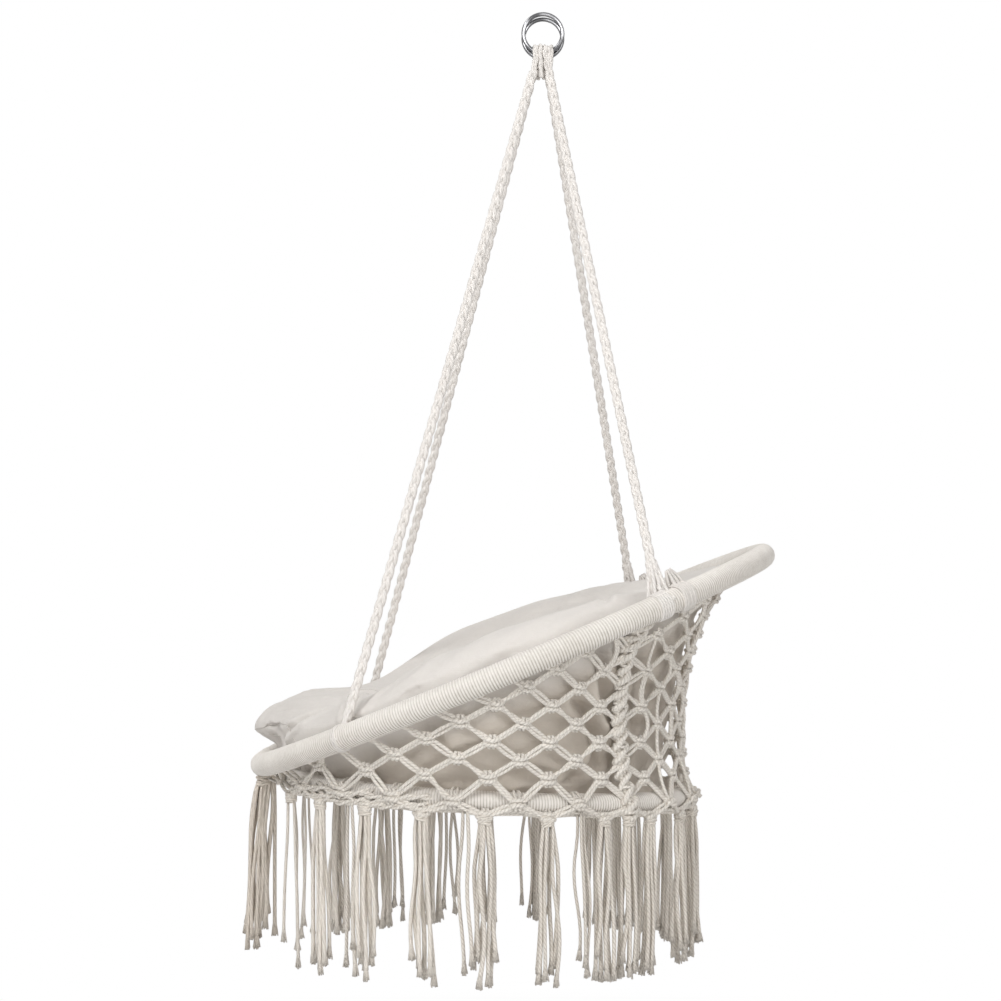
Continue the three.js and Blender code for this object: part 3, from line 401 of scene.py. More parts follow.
def turnedFrames(path, closed=False):
    # a side vector at each point that turns as little as it can along the path
    ahead = np.roll(path, -1, axis=0) - np.roll(path, 1, axis=0)
    if not closed:
        ahead[0] = path[1] - path[0]
        ahead[-1] = path[-1] - path[-2]
    ahead /= np.linalg.norm(ahead, axis=1)[:, None]
    seed = np.array([0.0, 0.0, 1.0]) if abs(ahead[0][2]) < 0.9 else np.array([1.0, 0.0, 0.0])
    sides = np.empty_like(path)
    side = unit(np.cross(seed, ahead[0]))
    for i, direction in enumerate(ahead):
        side = unit(side - direction * side.dot(direction))
        sides[i] = side
    return sides, np.cross(ahead, sides)


class Bundle:
    # many round cords in one mesh

    def __init__(self):
        self.points, self.faces, self.uv, self.count = [], [], [], 0

    def cord(self, path, radius, sides=6, closed=False):
        path = np.asarray(path, dtype=float)
        steps = len(path)
        radii = np.broadcast_to(np.asarray(radius, dtype=float), (steps,))[:, None, None]
        across, over = turnedFrames(path, closed)
        angles = (np.arange(sides) * 2 * math.pi / sides)[None, :, None]
        ring = path[:, None] + across[:, None] * (np.cos(angles) * radii)
        ring = ring + over[:, None] * (np.sin(angles) * radii)
        self.points.append(ring.reshape(-1, 3))
        lengths = pathLengths(path)
        for i in range(steps if closed else steps - 1):
            j = (i + 1) % steps
            low = lengths[i]
            high = lengths[j] if j else lengths[-1] + np.linalg.norm(path[0] - path[-1])
            here, there = self.count + i * sides, self.count + j * sides
            for k in range(sides):
                m = (k + 1) % sides
                self.faces.append((here + k, here + m, there + m, there + k))
                u, w = k / sides, (k + 1) / sides
                self.uv.extend(((u, low), (w, low), (w, high), (u, high)))
        if not closed:
            last = self.count + (steps - 1) * sides
            self.faces.append(tuple(self.count + k for k in reversed(range(sides))))
            self.faces.append(tuple(last + k for k in range(sides)))
            self.uv.extend([(0.0, 0.0)] * sides + [(0.0, lengths[-1])] * sides)
        self.count += steps * sides

    def piece(self, name, material, slotName="cord", nodes=()):
        return makePiece(name, np.concatenate(self.points), self.faces, material, nodes, self.uv)


# the two hoops, where an angle of 0 is the front and a quarter turn is the sitter's left
upperHoop = {"radius": 0.384, "centre": (0, -0.043, -0.921), "tilt": math.radians(22.6),
             "wrapRadius": 0.0165, "pitch": 0.0039}
lowerHoop = {"radius": 0.278, "centre": (0, -0.08103, -1.09801), "tilt": math.radians(-2.75),
             "wrapRadius": 0.01375, "pitch": 0.0039}
wrapSettings = {"rib": 0.0012, "sides": 18, "stepsPerTurn": 6, "uneven": 0.25}


def outward(hoop, angle):
    forward, tilt = -np.cos(angle), hoop["tilt"]
    return np.stack([np.sin(angle), forward * math.cos(tilt), forward * math.sin(tilt)], axis=-1)


def normalOf(hoop):
    return np.array([0.0, -math.sin(hoop["tilt"]), math.cos(hoop["tilt"])])


def planePoint(hoop, radius, angle, height):
    return np.array(hoop["centre"]) + outward(hoop, angle) * radius + normalOf(hoop) * height


def besideHoop(hoop, angle, out, up):
    return planePoint(hoop, hoop["radius"] + out, angle, up)


def hoopPoint(hoop, angle):
    return besideHoop(hoop, angle, 0.0, 0.0)


def roundHoop(hoop, angle, size, stops, shift):
    # a line round the hoop's cross-section that wanders along the hoop by shift(t) metres
    return [besideHoop(hoop, angle + shift(t) / hoop["radius"], size * math.cos(t), size * math.sin(t))
            for t in stops]


def addHoopWrap(name, hoop, node, settings=wrapSettings):
    # cord wound round and round the tube: each turn is a rib that leans by one pitch a turn
    turns = round(2 * math.pi * hoop["radius"] / hoop["pitch"])
    steps, sides = turns * settings["stepsPerTurn"], settings["sides"]
    grid, turn = np.meshgrid(np.arange(steps) / steps, np.arange(sides) / sides, indexing="ij")
    lobe = np.abs(np.cos(math.pi * (grid * turns + turn))) ** 0.7
    uneven = 1 + settings["uneven"] * np.sin(grid * 2 * math.pi * 37) * np.sin(grid * 2 * math.pi * 11)
    radius = hoop["wrapRadius"] - settings["rib"] * (1 - lobe) * uneven
    angle = grid * 2 * math.pi
    out, up = outward(hoop, angle), normalOf(hoop)
    around = turn * 2 * math.pi
    points = (np.array(hoop["centre"]) + out * (hoop["radius"] + radius * np.cos(around))[..., None]
              + up * (radius * np.sin(around))[..., None])
    index = np.arange(steps * sides).reshape(steps, sides)
    ahead, beside = np.roll(index, -1, 0), np.roll(index, -1, 1)
    faces = np.stack([index, ahead, np.roll(ahead, -1, 1), beside], axis=-1)
    row, column = np.meshgrid(np.arange(steps), np.arange(sides), indexing="ij")
    corners = [(row, column), (row + 1, column), (row + 1, column + 1), (row, column + 1)]
    uv = np.stack([np.stack([c / sides, r / steps * turns + c / sides], axis=-1) for r, c in corners], axis=2)
    makePiece(name, points.reshape(-1, 3), faces.reshape(-1, 4).tolist(), cordMaterials["wrapCord"],
              [node], uv)


addHoopWrap("upperHoopCord", upperHoop, "upper_hoop_wrap")
addHoopWrap("lowerHoopCord", lowerHoop, "lower_hoop_wrap")
for node in ("upper_hoop_tube", "lower_hoop_tube"):
    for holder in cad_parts[node].material_slots:
        holder.material = tubeSteel
report("hoops wound")


# rings, with a low weld bead where the wire's ends meet
ringSettings = {"innerRadius": 0.025, "wire": 0.003, "offset": 0.0033, "drop": 0.006,
                "beadAt": 0.35, "beadWidth": 0.05, "beadSwell": 0.06}


def addRing(name, x, z, body, node, settings=ringSettings):
    bpy.ops.object.select_all(action="DESELECT")
    middle = settings["innerRadius"] + settings["wire"]
    bpy.ops.mesh.primitive_torus_add(
        major_segments=96, minor_segments=20, location=(x, 0, z), rotation=(0, math.pi / 2, 0),
        major_radius=middle, minor_radius=settings["wire"])
    ring = bpy.context.object
    ring.name = name
    bpy.ops.object.transform_apply(location=True, rotation=True, scale=True)
    bpy.ops.object.shade_smooth()
    for vertex in ring.data.vertices:
        away = math.atan2(vertex.co.y, vertex.co.z - z)
        swell = math.exp(-((away - settings["beadAt"]) / settings["beadWidth"]) ** 2) * settings["beadSwell"]
        centre = np.array([x, math.sin(away) * middle, z + math.cos(away) * middle])
        vertex.co = centre + (np.array(vertex.co) - centre) * (1 + swell)
    ring.data.materials.clear()
    ring.data.materials.append(ringSteel)
    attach(ring, body)
    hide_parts(node)


ringHeight = -ringSettings["innerRadius"]
addRing("firstRing", ringSettings["offset"], ringHeight, "upper_ring", "hanging_ring_first")
addRing("secondRing", -ringSettings["offset"], ringHeight - ringSettings["drop"], "lower_ring",
        "hanging_ring_second")


# ropes: three strands plaited, each laid from yarns
ropeSettings = {"swing": 0.0034, "depth": 0.0022, "strand": 0.0033, "pitch": 0.058, "stepsPerPitch": 18,
                "sides": 8}
ropeTopX, ropeTopZ = 0.0075, -0.080
rearRopeAngle = math.radians(122.1)
ropeEnds = {  # rise is how far above the hoop the tie begins, slots are the places on the ring
    "front": {"topY": -0.014, "angle": math.radians(50.6), "rise": 0.020, "slots": {1: -0.0105, -1: -0.0035}},
    "rear": {"topY": 0.008, "angle": rearRopeAngle, "rise": 0.044, "slots": {1: 0.0035, -1: 0.0105}},
}
ropes = [{"name": end + "_" + name, "side": side, "pair": end, "slot": facts["slots"][side], **facts}
         for end, facts in ropeEnds.items() for name, side in (("left", 1), ("right", -1))]


def plait(bundle, path, settings, phase=0.0, taper=None):
    path = np.asarray(path)
    lengths = pathLengths(path)
    steps = max(4, round(lengths[-1] / settings["pitch"] * settings["stepsPerPitch"]))
    stations = np.linspace(0, lengths[-1], steps + 1)
    centre = alongPath(path, lengths, stations)
    across, over = turnedFrames(centre)
    for strand in range(3):
        turn = stations / settings["pitch"] * 2 * math.pi + strand * 2 * math.pi / 3 + phase
        wave = (centre + across * (np.sin(turn) * settings["swing"])[:, None]
                + over * (np.sin(2 * turn) * settings["depth"])[:, None])
        swell = 1.0 if taper is None else np.interp(stations / stations[-1], *taper)
        bundle.cord(wave, settings["strand"] * swell, settings["sides"])


for rope in ropes:
    top = np.array([rope["side"] * ropeTopX, rope["topY"], ropeTopZ])
    foot = hoopPoint(upperHoop, rope["side"] * rope["angle"])
    down = unit(foot - top)
    rope["top"], rope["foot"], rope["down"] = top, foot, down
    rope["end"] = foot - down * (upperHoop["wrapRadius"] + rope["rise"])
    bundle = Bundle()
    plait(bundle, np.linspace(top, rope["end"] + down * 0.012, 60), ropeSettings, phase=rope["slot"] * 300)
    node = "rope_" + rope["name"]
    bundle.piece(node + "_plait", cordMaterials["ropeStrand"], nodes=[node])

headBundle = Bundle()
for rope in ropes:
    side, y = rope["side"], rope["slot"]
    loop = smoothPath([
        rope["top"] + rope["down"] * 0.004,
        (side * 0.0085, y * 0.7 + rope["topY"] * 0.3, -0.070),
        (side * 0.0115, y, -0.058),
        (side * 0.0085, y, -0.047),
        (0, y, -0.0435),
        (-side * 0.0085, y, -0.047),
        (-side * 0.0115, y, -0.058),
        (-side * 0.0098, y * 0.9, -0.070),
        (-side * 0.0085, y * 0.8, -0.080),
        (-side * 0.0072, y * 0.8, -0.089),
    ], 6)
    plait(headBundle, loop, {**ropeSettings, "swing": 0.0024, "depth": 0.0012, "strand": 0.0023})
for i in range(7):
    # the middle of the bunch, where the loops' ends are tucked in
    y = (i - 3) * 0.0034
    lean = 0.0012 if i % 2 else -0.0012
    strand = smoothPath([(lean, y * 0.8, -0.050), (-lean, y, -0.060), (lean * 2, y * 1.05 - 0.001, -0.072),
                         (-lean, y * 1.1 - 0.002, -0.084)], 5)
    headBundle.cord(strand, [0.003] * 14 + [0.0026, 0.0018], 7)
headBundle.piece("ropeHeadLoops", cordMaterials["ropeStrand"], nodes=["rope_head"])
report("ropes plaited")


# the net
netSettings = {
    "columns": 22,
    "rows": 16,
    "firstRow": 0.033,
    "rowPitch": 0.0243,
    "standoff": 0.00475,
    "sideBow": 0.012,
    "rearBow": 0.050,
    "hemDrop": 0.004,
    "knotMargin": 0.013,
    "firstKnot": 2,
    "lastKnot": 42,
    "knotReach": 0.0035,
    "knotRise": 0.0022,
    "cord": 0.0025,
    "apart": 0.0023,
    "crossed": 0.30,
    "slack": 0.6,
    "slackBulge": (0.006, 0.013),
    "slackCord": (0.0022, 0.0030),
    "gathered": ((0.001, 0.0185), (-0.010, 0.0165)),  # height and reach of the two thick twists
}
netStops = [(0, 0.0), (5.5, math.radians(86.8)), (8, math.radians(120.5)), (11, math.pi)]
sennits = (16, 28)


def lowerAngle(column):
    return column / netSettings["columns"] * 2 * math.pi


def upperAngle(column):
    half = netSettings["columns"] // 2
    folded = (column + half) % netSettings["columns"] - half
    return math.copysign(float(np.interp(abs(folded), *zip(*netStops))), folded)


def netPoint(column, height, standoff=None):
    standoff = netSettings["standoff"] if standoff is None else standoff
    angle = lowerAngle(column)
    low, high = hoopPoint(lowerHoop, angle), hoopPoint(upperHoop, upperAngle(column))
    out = outward(lowerHoop, angle)
    share = height / (high[2] - low[2])
    point = low + out * (lowerHoop["wrapRadius"] + standoff)
    point = point + (high - point) * share
    point[2] = low[2] + height
    bow = netSettings["sideBow"] + netSettings["rearBow"] * max(0.0, -math.cos(angle))
    shape = math.sqrt(max(0.0, math.sin(math.pi * min(1.0, max(0.0, share)) ** 1.3)))
    return point - level(out) * bow * shape


def hemPoint(column):
    size = lowerHoop["wrapRadius"]
    return besideHoop(lowerHoop, lowerAngle(column), size + 0.0015, -(size + netSettings["hemDrop"]))


def rowHeight(row):
    return 0.0 if row <= 0 else netSettings["firstRow"] + (row - 1) * netSettings["rowPitch"]


def netFrame(column, height):
    across = unit(netPoint(column + 0.1, height) - netPoint(column - 0.1, height))
    up = netPoint(column, height + 0.0025) - netPoint(column, height)
    normal = unit(np.cross(across, up))
    return across, np.cross(normal, across), normal


def knotFits(x, row):
    if row == -1:
        return knotFits(x - 1, 0) and knotFits(x + 1, 0)
    place, hoop = netPoint(x / 2, rowHeight(row)), hoopPoint(upperHoop, upperAngle(x / 2))
    clear = upperHoop["wrapRadius"] + netSettings["knotMargin"]
    return place[2] < hoop[2] and np.linalg.norm(place - hoop) > clear


def isKnot(x, row):
    inside = netSettings["firstKnot"] <= x <= netSettings["lastKnot"] and x not in sennits
    return inside and row >= -1 and (x + row) % 2 == 0 and knotFits(x, row)


def knotPlace(x, row):
    return hemPoint(x / 2) if row < 0 else netPoint(x / 2, rowHeight(row))


def addPair(bundle, start, end, normal, startWay, endWay):
    # two cords side by side from one knot to the next, drawn together at each end
    along = unit(end - start)
    length = np.linalg.norm(end - start)
    beside = unit(np.cross(normal, along))
    crossed = rng.random() < netSettings["crossed"]
    loose = rng.uniform(0.7, 1.5)
    for side in (-1, 1):
        wobble = rng.uniform(-0.0010, 0.0010)
        lift = rng.uniform(-0.0003, 0.0009)
        path = []
        for t in (0.0, 0.15, 0.32, 0.5, 0.68, 0.85, 1.0):
            middle = math.sin(math.pi * t)
            bend = (startWay * (1 - t) - endWay * t) * 0.50 * length * t * (1 - t) * abs(1 - 2 * t)
            gap = netSettings["apart"] * (0.75 + 0.4 * loose * middle) + wobble * middle
            gap *= math.cos(math.pi * t) if crossed else 1
            over = middle * side * 0.0016 if crossed else side * 0.0004
            place = start + along * length * t + bend + beside * side * gap
            path.append(place + normal * (lift * middle + over))
        bundle.cord(path, netSettings["cord"], 7)


def addKnot(bundle, place, across, up, normal, size=1.0):
    # a square knot: two bars in front, one behind, round two cords
    lean = rng.uniform(-0.12, 0.12)
    right = across * math.cos(lean) + up * math.sin(lean)
    over = up * math.cos(lean) - across * math.sin(lean)
    size *= rng.uniform(0.92, 1.08)

    def at(x, y, z):
        return place + (right * x + over * y + normal * z) * size * 0.001

    for way in (-1, 1):
        bar = [at(-6.4, way * 0.6, -0.6), at(-4.2, way * 2.7, 1.6), at(0, way * 1.9, 3.2),
               at(4.2, way * 2.7, 1.6), at(6.4, way * 0.6, -0.6)]
        bundle.cord(bar, 0.0021 * size, 6)
        rod = [at(way * 1.7, -6.6, 0.2), at(way * 2.0, 0, 0.6), at(way * 1.7, 6.6, 0.2)]
        bundle.cord(rod, 0.0018 * size, 5)
    bundle.cord([at(-6.2, 0, 0), at(0, 0, -3.0), at(6.2, 0, 0)], 0.0019 * size, 5)


def addSlack(bundle, x, row):
    # a spare cord that runs behind a knot and sags outwards
    start, end = knotPlace(x, row), knotPlace(x, row + 2)
    across, _, normal = netFrame(x / 2, rowHeight(row + 1))
    side, bulge = rng.choice((-1, 1)), rng.uniform(*netSettings["slackBulge"])
    path = []
    for t in np.linspace(0, 1, 11):
        swing = math.sin(math.pi * t)
        path.append(mixed(start, end, t) + across * side * bulge * swing + normal * (0.0005 + 0.003 * swing))
    bundle.cord(path, rng.uniform(*netSettings["slackCord"]), 7)
    if rng.random() < 0.5:
        bundle.cord([p - across * side * 0.0045 + normal * 0.0006 for p in path], 0.0022, 7)


def addHoopLoop(bundle, column):
    # the net is held on the lower hoop by a turn of cord at each knot
    stops = np.linspace(-0.75 * math.pi, 0.7 * math.pi, 13)
    for side in (-1, 1):
        loop = roundHoop(lowerHoop, lowerAngle(column), lowerHoop["wrapRadius"] + 0.0014, stops,
                         lambda t: side * (0.0030 + 0.0008 * math.sin(t * 2)))
        bundle.cord(loop, 0.0018, 6)


def addGatheredLine(bundle, x, height, reach):
    # a thick twist of spare cord in front of the hoop, where the net is drawn together
    for strand in (0, 1):
        path = []
        for t in np.linspace(-0.15, 1.15, 15):
            turn = t * 4 * math.pi + strand * math.pi + x
            sag = 0.004 * math.sin(math.pi * t) + 0.002 * math.sin(5 * t + x)
            tucked = reach - 0.06 * max(0.0, -t, t - 1)
            path.append(besideHoop(lowerHoop, lowerAngle((x + 2 * t) / 2), tucked + 0.0026 * math.cos(turn),
                                   height - sag + 0.0026 * math.sin(turn)))
        bundle.cord(path, 0.0025, 6)


def addHemLine(bundle, x):
    # cords that run on from one hem knot to the next, close under the hoop
    start, end = hemPoint(x / 2), hemPoint((x + 2) / 2)
    size = lowerHoop["wrapRadius"]
    for lane in (0, 1):
        path = []
        for t in np.linspace(0, 1, 9):
            rise = math.sin(math.pi * t) ** 0.8
            under = besideHoop(lowerHoop, lowerAngle((x + 2 * t) / 2), size * (0.82 - 0.30 * lane),
                               -size * (0.80 + 0.25 * lane))
            uneven = np.array([0, 0, rng.uniform(-0.0005, 0.0005)])
            path.append(mixed(mixed(start, end, t), under, rise) + uneven)
        bundle.cord(path, 0.0024, 6)
    for strand in (0, 1):
        path = []
        for t in np.linspace(0, 1, 17):
            turn = t * 5 * math.pi + strand * math.pi
            rise = math.sin(math.pi * t) ** 0.6
            beside = besideHoop(lowerHoop, lowerAngle((x + 2 * t) / 2), size * 1.02 + 0.0024 * math.cos(turn),
                                -size * 0.62 + 0.0024 * math.sin(turn))
            path.append(mixed(mixed(start, end, t), beside, rise))
        bundle.cord(path, 0.0023, 6)


knots = [(x, row) for x in range(netSettings["firstKnot"], netSettings["lastKnot"] + 1)
         for row in range(-1, netSettings["rows"]) if isKnot(x, row)]
panels = {  # by node: the piece, its first line of knots and its last
    "side_net_left_1": ("leftFrontNet", 2, 6),
    "side_net_left_2": ("leftMiddleNet", 7, 11),
    "side_net_left_3": ("leftRearNet", 12, 16),
    "back_net_1": ("backLeftNet", 17, 19),
    "back_net_2": ("backMiddleNet", 20, 24),
    "back_net_3": ("backRightNet", 25, 27),
    "side_net_right_1": ("rightRearNet", 28, 32),
    "side_net_right_2": ("rightMiddleNet", 33, 37),
    "side_net_right_3": ("rightFrontNet", 38, 42),
}

for node, (panel, first, last) in panels.items():
    cords, lumps = Bundle(), Bundle()
    for x, row in knots:
        if not first <= x <= last:
            continue
        place = knotPlace(x, row)
        across, up, normal = netFrame(x / 2, rowHeight(row))
        addKnot(lumps, place, across, up, normal, 1.6 if row == 0 else 1.5)
        for stepX in (-1, 1):
            beside, rise = across * stepX * netSettings["knotReach"], up * netSettings["knotRise"]
            start = place + beside + rise
            if isKnot(x + stepX, row + 1):
                other = knotPlace(x + stepX, row + 1)
                otherAcross, otherUp, otherNormal = netFrame((x + stepX) / 2, rowHeight(row + 1))
                end = other - otherAcross * stepX * netSettings["knotReach"]
                end = end - otherUp * netSettings["knotRise"]
                addPair(cords, start, end, unit(normal + otherNormal), across * stepX, otherAcross * stepX)
            elif x + stepX in sennits:
                height = rowHeight(row + 1)
                if height < 0.28 and knotFits(x + stepX, row + 1):
                    end = netPoint((x + stepX) / 2, height - 0.004)
                    addPair(cords, start, end, normal, across * stepX, across * stepX)
            else:
                room = hoopPoint(upperHoop, upperAngle(x / 2))[2] - place[2]
                reach = min(1.0, max(0.2, room / (rowHeight(row + 1) - rowHeight(row))))
                centre = hoopPoint(upperHoop, upperAngle((x + stepX * reach) / 2))
                end = centre - unit(centre - place) * (upperHoop["wrapRadius"] - 0.003)
                addPair(cords, start, end, normal, across * stepX, across * stepX)
            if x + stepX in sennits and row > 0:
                end = netPoint((x + stepX) / 2, rowHeight(row - 1) + 0.004)
                addPair(cords, place + beside - rise, end, normal, across * stepX, across * stepX)
        if row == 0:
            addHoopLoop(cords, x / 2)
        if row == -1 and isKnot(x + 2, -1) and x != 21:
            addHemLine(cords, x)
            if x < 9 or x > 33:
                for height, reach in netSettings["gathered"]:
                    addGatheredLine(cords, x, height, reach)
        slack = (15 <= x <= 29 or x < 8 or x > 36) and row >= 0 and isKnot(x, row + 2)
        if slack and rng.random() < netSettings["slack"]:
            addSlack(cords, x, row)
    cords.piece(panel, cordMaterials["netCord"], nodes=[node])
    lumps.piece(panel + "Knots", cordMaterials["knotCord"])
report("net knotted")


# sennits: bundles of cords twisted into a thick column
sennitSettings = {"pitch": 0.036, "wide": 0.0096, "deep": 0.0056, "cord": 0.0034, "knotPitch": 0.0098,
                  "core": 0.003, "tieCord": 0.0021}


def sennitPath(column):
    hoop = hoopPoint(upperHoop, upperAngle(column))
    top = hoop[2] - hoopPoint(lowerHoop, lowerAngle(column))[2]
    corners = [hemPoint(column)] + [netPoint(column, top * 0.82 * i / 7) for i in range(8)]
    corners.append(hoop - unit(hoop - corners[-1]) * (upperHoop["wrapRadius"] + 0.001))
    return smoothPath(corners, 8)


def addSennit(name, column, settings=sennitSettings):
    path = sennitPath(column)
    lengths = pathLengths(path)
    bundle = Bundle()
    count = round(lengths[-1] / settings["knotPitch"])
    frames = []
    for i in range(count + 1):
        station = lengths[-1] * i / count
        ahead = alongPath(path, lengths, min(lengths[-1], station + 0.004))
        behind = alongPath(path, lengths, max(0, station - 0.004))
        up = unit(ahead - behind)
        across = netFrame(column, 0.05)[0]
        across = unit(across - up * across.dot(up))
        frames.append((alongPath(path, lengths, station), across, up, np.cross(across, up)))
    for offset in (-settings["core"], settings["core"]):
        bundle.cord([c + a * offset for c, a, u, n in frames], settings["cord"], 7)
    for strand in range(6):
        # two bundles of three cords twist round each other in knots that bulge and pinch
        bundleTurn, lane = (strand % 2) * math.pi, strand // 2 - 1
        path = []
        for f in np.linspace(0, count, count * 4 + 1):
            i = min(int(f), count - 1)
            c, a, u, n = [mixed(frames[i][k], frames[i + 1][k], f - i) for k in range(4)]
            turn = f * settings["knotPitch"] / settings["pitch"] * 2 * math.pi + bundleTurn + lane * 0.42
            swell = 1 + 0.20 * math.cos(f * math.pi) + 0.06 * math.sin(f * 1.7 + strand)
            wide, deep = math.sin(turn) * settings["wide"], math.cos(turn) * settings["deep"]
            path.append(c + (a * wide + n * deep) * swell + u * lane * 0.0012)
        bundle.cord(path, settings["cord"], 6)
    for i in range(1, count, 3):
        # a tie strand crosses now and then
        centre, across, up, normal = frames[i]
        across = across * (1 if i % 2 else -1)
        steps = [(-0.010, -0.001, -0.003), (-0.004, 0.0072, 0), (0.005, 0.0068, 0.003),
                 (0.0105, -0.001, 0.006)]
        tie = [centre + across * x + normal * y + up * z for x, y, z in steps]
        bundle.cord(smoothPath(tie, 3), settings["tieCord"], 6)
    bundle.piece("sennit_" + name + "_knots", cordMaterials["knotCord"], nodes=["sennit_" + name])


addSennit("left", 8)
addSennit("right", 14)
report("sennits knotted")


# the fringe
fringeSettings = {
    "endZ": -1.332,
    "cord": 0.0027,
    "root": (0.0050, 0.0078),  # how far from the tassel's middle a cord starts, and how far it hangs
    "reach": (0.0070, 0.0160),
    "shorter": (0.0, 0.003, 0.008, 0.014, 0.022, 0.034),
    "fray": 13,
    "flare": [0.8] + [1.0] * 10 + [1.04, 1.2],
    "headTurns": 4,
    "headWidth": 0.0075,
    "headDepth": 0.0058,
    "headPitch": 0.0033,
    "headCord": (0.0019, 0.0026),
    "single": [(3.2, 2), (5.2, 2), (7.05, 3), (12.6, 2), (15.7, 3), (17.15, 3), (18.2, 3), (19.4, 2)],
}


def hangCords(bundle, top, tangent, endZ, cords, wide=1.0, lean=0.0, thin=1.0, bend=2):
    # a bunch of loose cords with frayed ends
    out = np.array([tangent[1], -tangent[0], 0.0])
    sway = rng.uniform(-0.004, 0.004) + lean
    for i in range(cords):
        turn = (i + rng.uniform(-0.3, 0.3)) / cords * 2 * math.pi
        root = rng.uniform(*fringeSettings["root"]) * wide
        reach = rng.uniform(*fringeSettings["reach"]) * wide
        finish = endZ + rng.choice(fringeSettings["shorter"])
        size = fringeSettings["cord"] * rng.uniform(0.88, 1.12) * thin
        wave, phase, beat = rng.uniform(0.0012, 0.0040), rng.uniform(0, 6.28), rng.uniform(3, 8)
        start = top + np.array([0, 0, rng.uniform(-0.004, 0.002)])
        path = []
        for t in np.linspace(0, 1, 13):
            share = math.sin(min(1.0, t * 1.25) * math.pi / 2)
            loose = min(1, t * 3)
            side = math.cos(turn) * mixed(root, reach, share) + sway * t ** bend
            side += wave * math.sin(t * beat + phase) * loose
            back = math.sin(turn) * mixed(root * 0.6, reach * 0.75, share)
            back += wave * math.cos(t * beat * 0.8 + phase) * 0.7 * loose
            path.append(start + tangent * side + out * back + np.array([0, 0, (finish - start[2]) * t]))
        bundle.cord(path, size * np.array(fringeSettings["flare"]), 6)
        addFray(bundle, path[-1], path[-2], size, phase, tangent, out)


def addFray(bundle, tip, before, size, phase, tangent, out):
    base = tip + (before - tip) * 0.7
    for strand in range(fringeSettings["fray"]):
        turn = strand * 2 * math.pi / fringeSettings["fray"] + phase
        away = tangent * math.cos(turn) + out * math.sin(turn)
        spread = rng.uniform(0.3, 1.0)
        end = tip + away * spread * 0.0050 - np.array([0, 0, rng.uniform(0.004, 0.008)])
        middle = tip + (base - tip) * 0.3 + away * size * (0.5 + 0.6 * spread)
        bundle.cord([base + away * size * 0.6, middle, end], [0.0010, 0.0012, 0.0009], 4)


def addTassel(node, top, tangent, endZ, cords=7, wide=1.0, material="fringeCord", **hang):
    bundle = Bundle()
    tangent = level(tangent)
    out = np.array([tangent[1], -tangent[0], 0.0])
    hangCords(bundle, top, tangent, endZ, cords, wide, **hang)
    # the head is a lump of half hitches, not a neat band
    width, depth = fringeSettings["headWidth"] * wide, fringeSettings["headDepth"]
    for turn in range(fringeSettings["headTurns"]):
        slope = rng.uniform(-0.6, 0.6)
        rise = 0.0035 - turn * fringeSettings["headPitch"]
        ring = [top + tangent * width * math.cos(t) + out * depth * math.sin(t)
                + np.array([0, 0, rise + 0.0034 * math.cos(t) * slope]) for t in np.arange(12) * math.pi / 6]
        bundle.cord(ring, rng.uniform(*fringeSettings["headCord"]), 6, closed=True)
    bundle.piece(node + "_cords", cordMaterials[material], nodes=[node])


def addLooseCords():
    # single cords between the tassels, by hem column and number
    bundle = Bundle()
    for column, cords in fringeSettings["single"]:
        tangent = level(outward(lowerHoop, lowerAngle(column) + math.pi / 2))
        top = hemPoint(column) + np.array([0, 0, 0.010])
        hangCords(bundle, top, tangent, fringeSettings["endZ"] + 0.008, cords, wide=0.8, thin=0.85)
    bundle.piece("looseFringeCords", cordMaterials["fringeTwist"])


hemSpots = [("tassel_%02d" % (i + 1), i + 1.5) for i in range(20)]
for node, column in hemSpots + [("tassel_sennit_left", 8), ("tassel_sennit_right", 14)]:
    tangent = outward(lowerHoop, lowerAngle(column) + math.pi / 2)
    ends = {"cords": 3, "thin": 0.75} if node in ("tassel_01", "tassel_20") else {}
    ends["material"] = "fringeTwist" if 5 < column < 17 else "fringeCord"
    addTassel(node, hemPoint(column) + np.array([0, 0, -0.003]), tangent, fringeSettings["endZ"], **ends)
# the front tassels take the darker cord, as painted shade
for node, side, lean in (("tassel_front_left", 1, -0.017), ("tassel_front_right", -1, -0.007)):
    under = hoopPoint(upperHoop, upperAngle(0.5 * side))
    under[2] -= upperHoop["wrapRadius"] + 0.0045
    addTassel(node, under, (0, 1.0, 0), fringeSettings["endZ"] + 0.014, cords=8, wide=1.05,
              material="fringeShade", lean=lean, bend=0.6)
report("fringe hung")


# lashings at the front: turns of cord round both hoops
lashingSettings = {"turns": 5, "pitch": 0.0036, "cord": 0.0014, "slack": 0.0004, "upperBite": 0.0009,
                   "lowerGap": 0.0004}


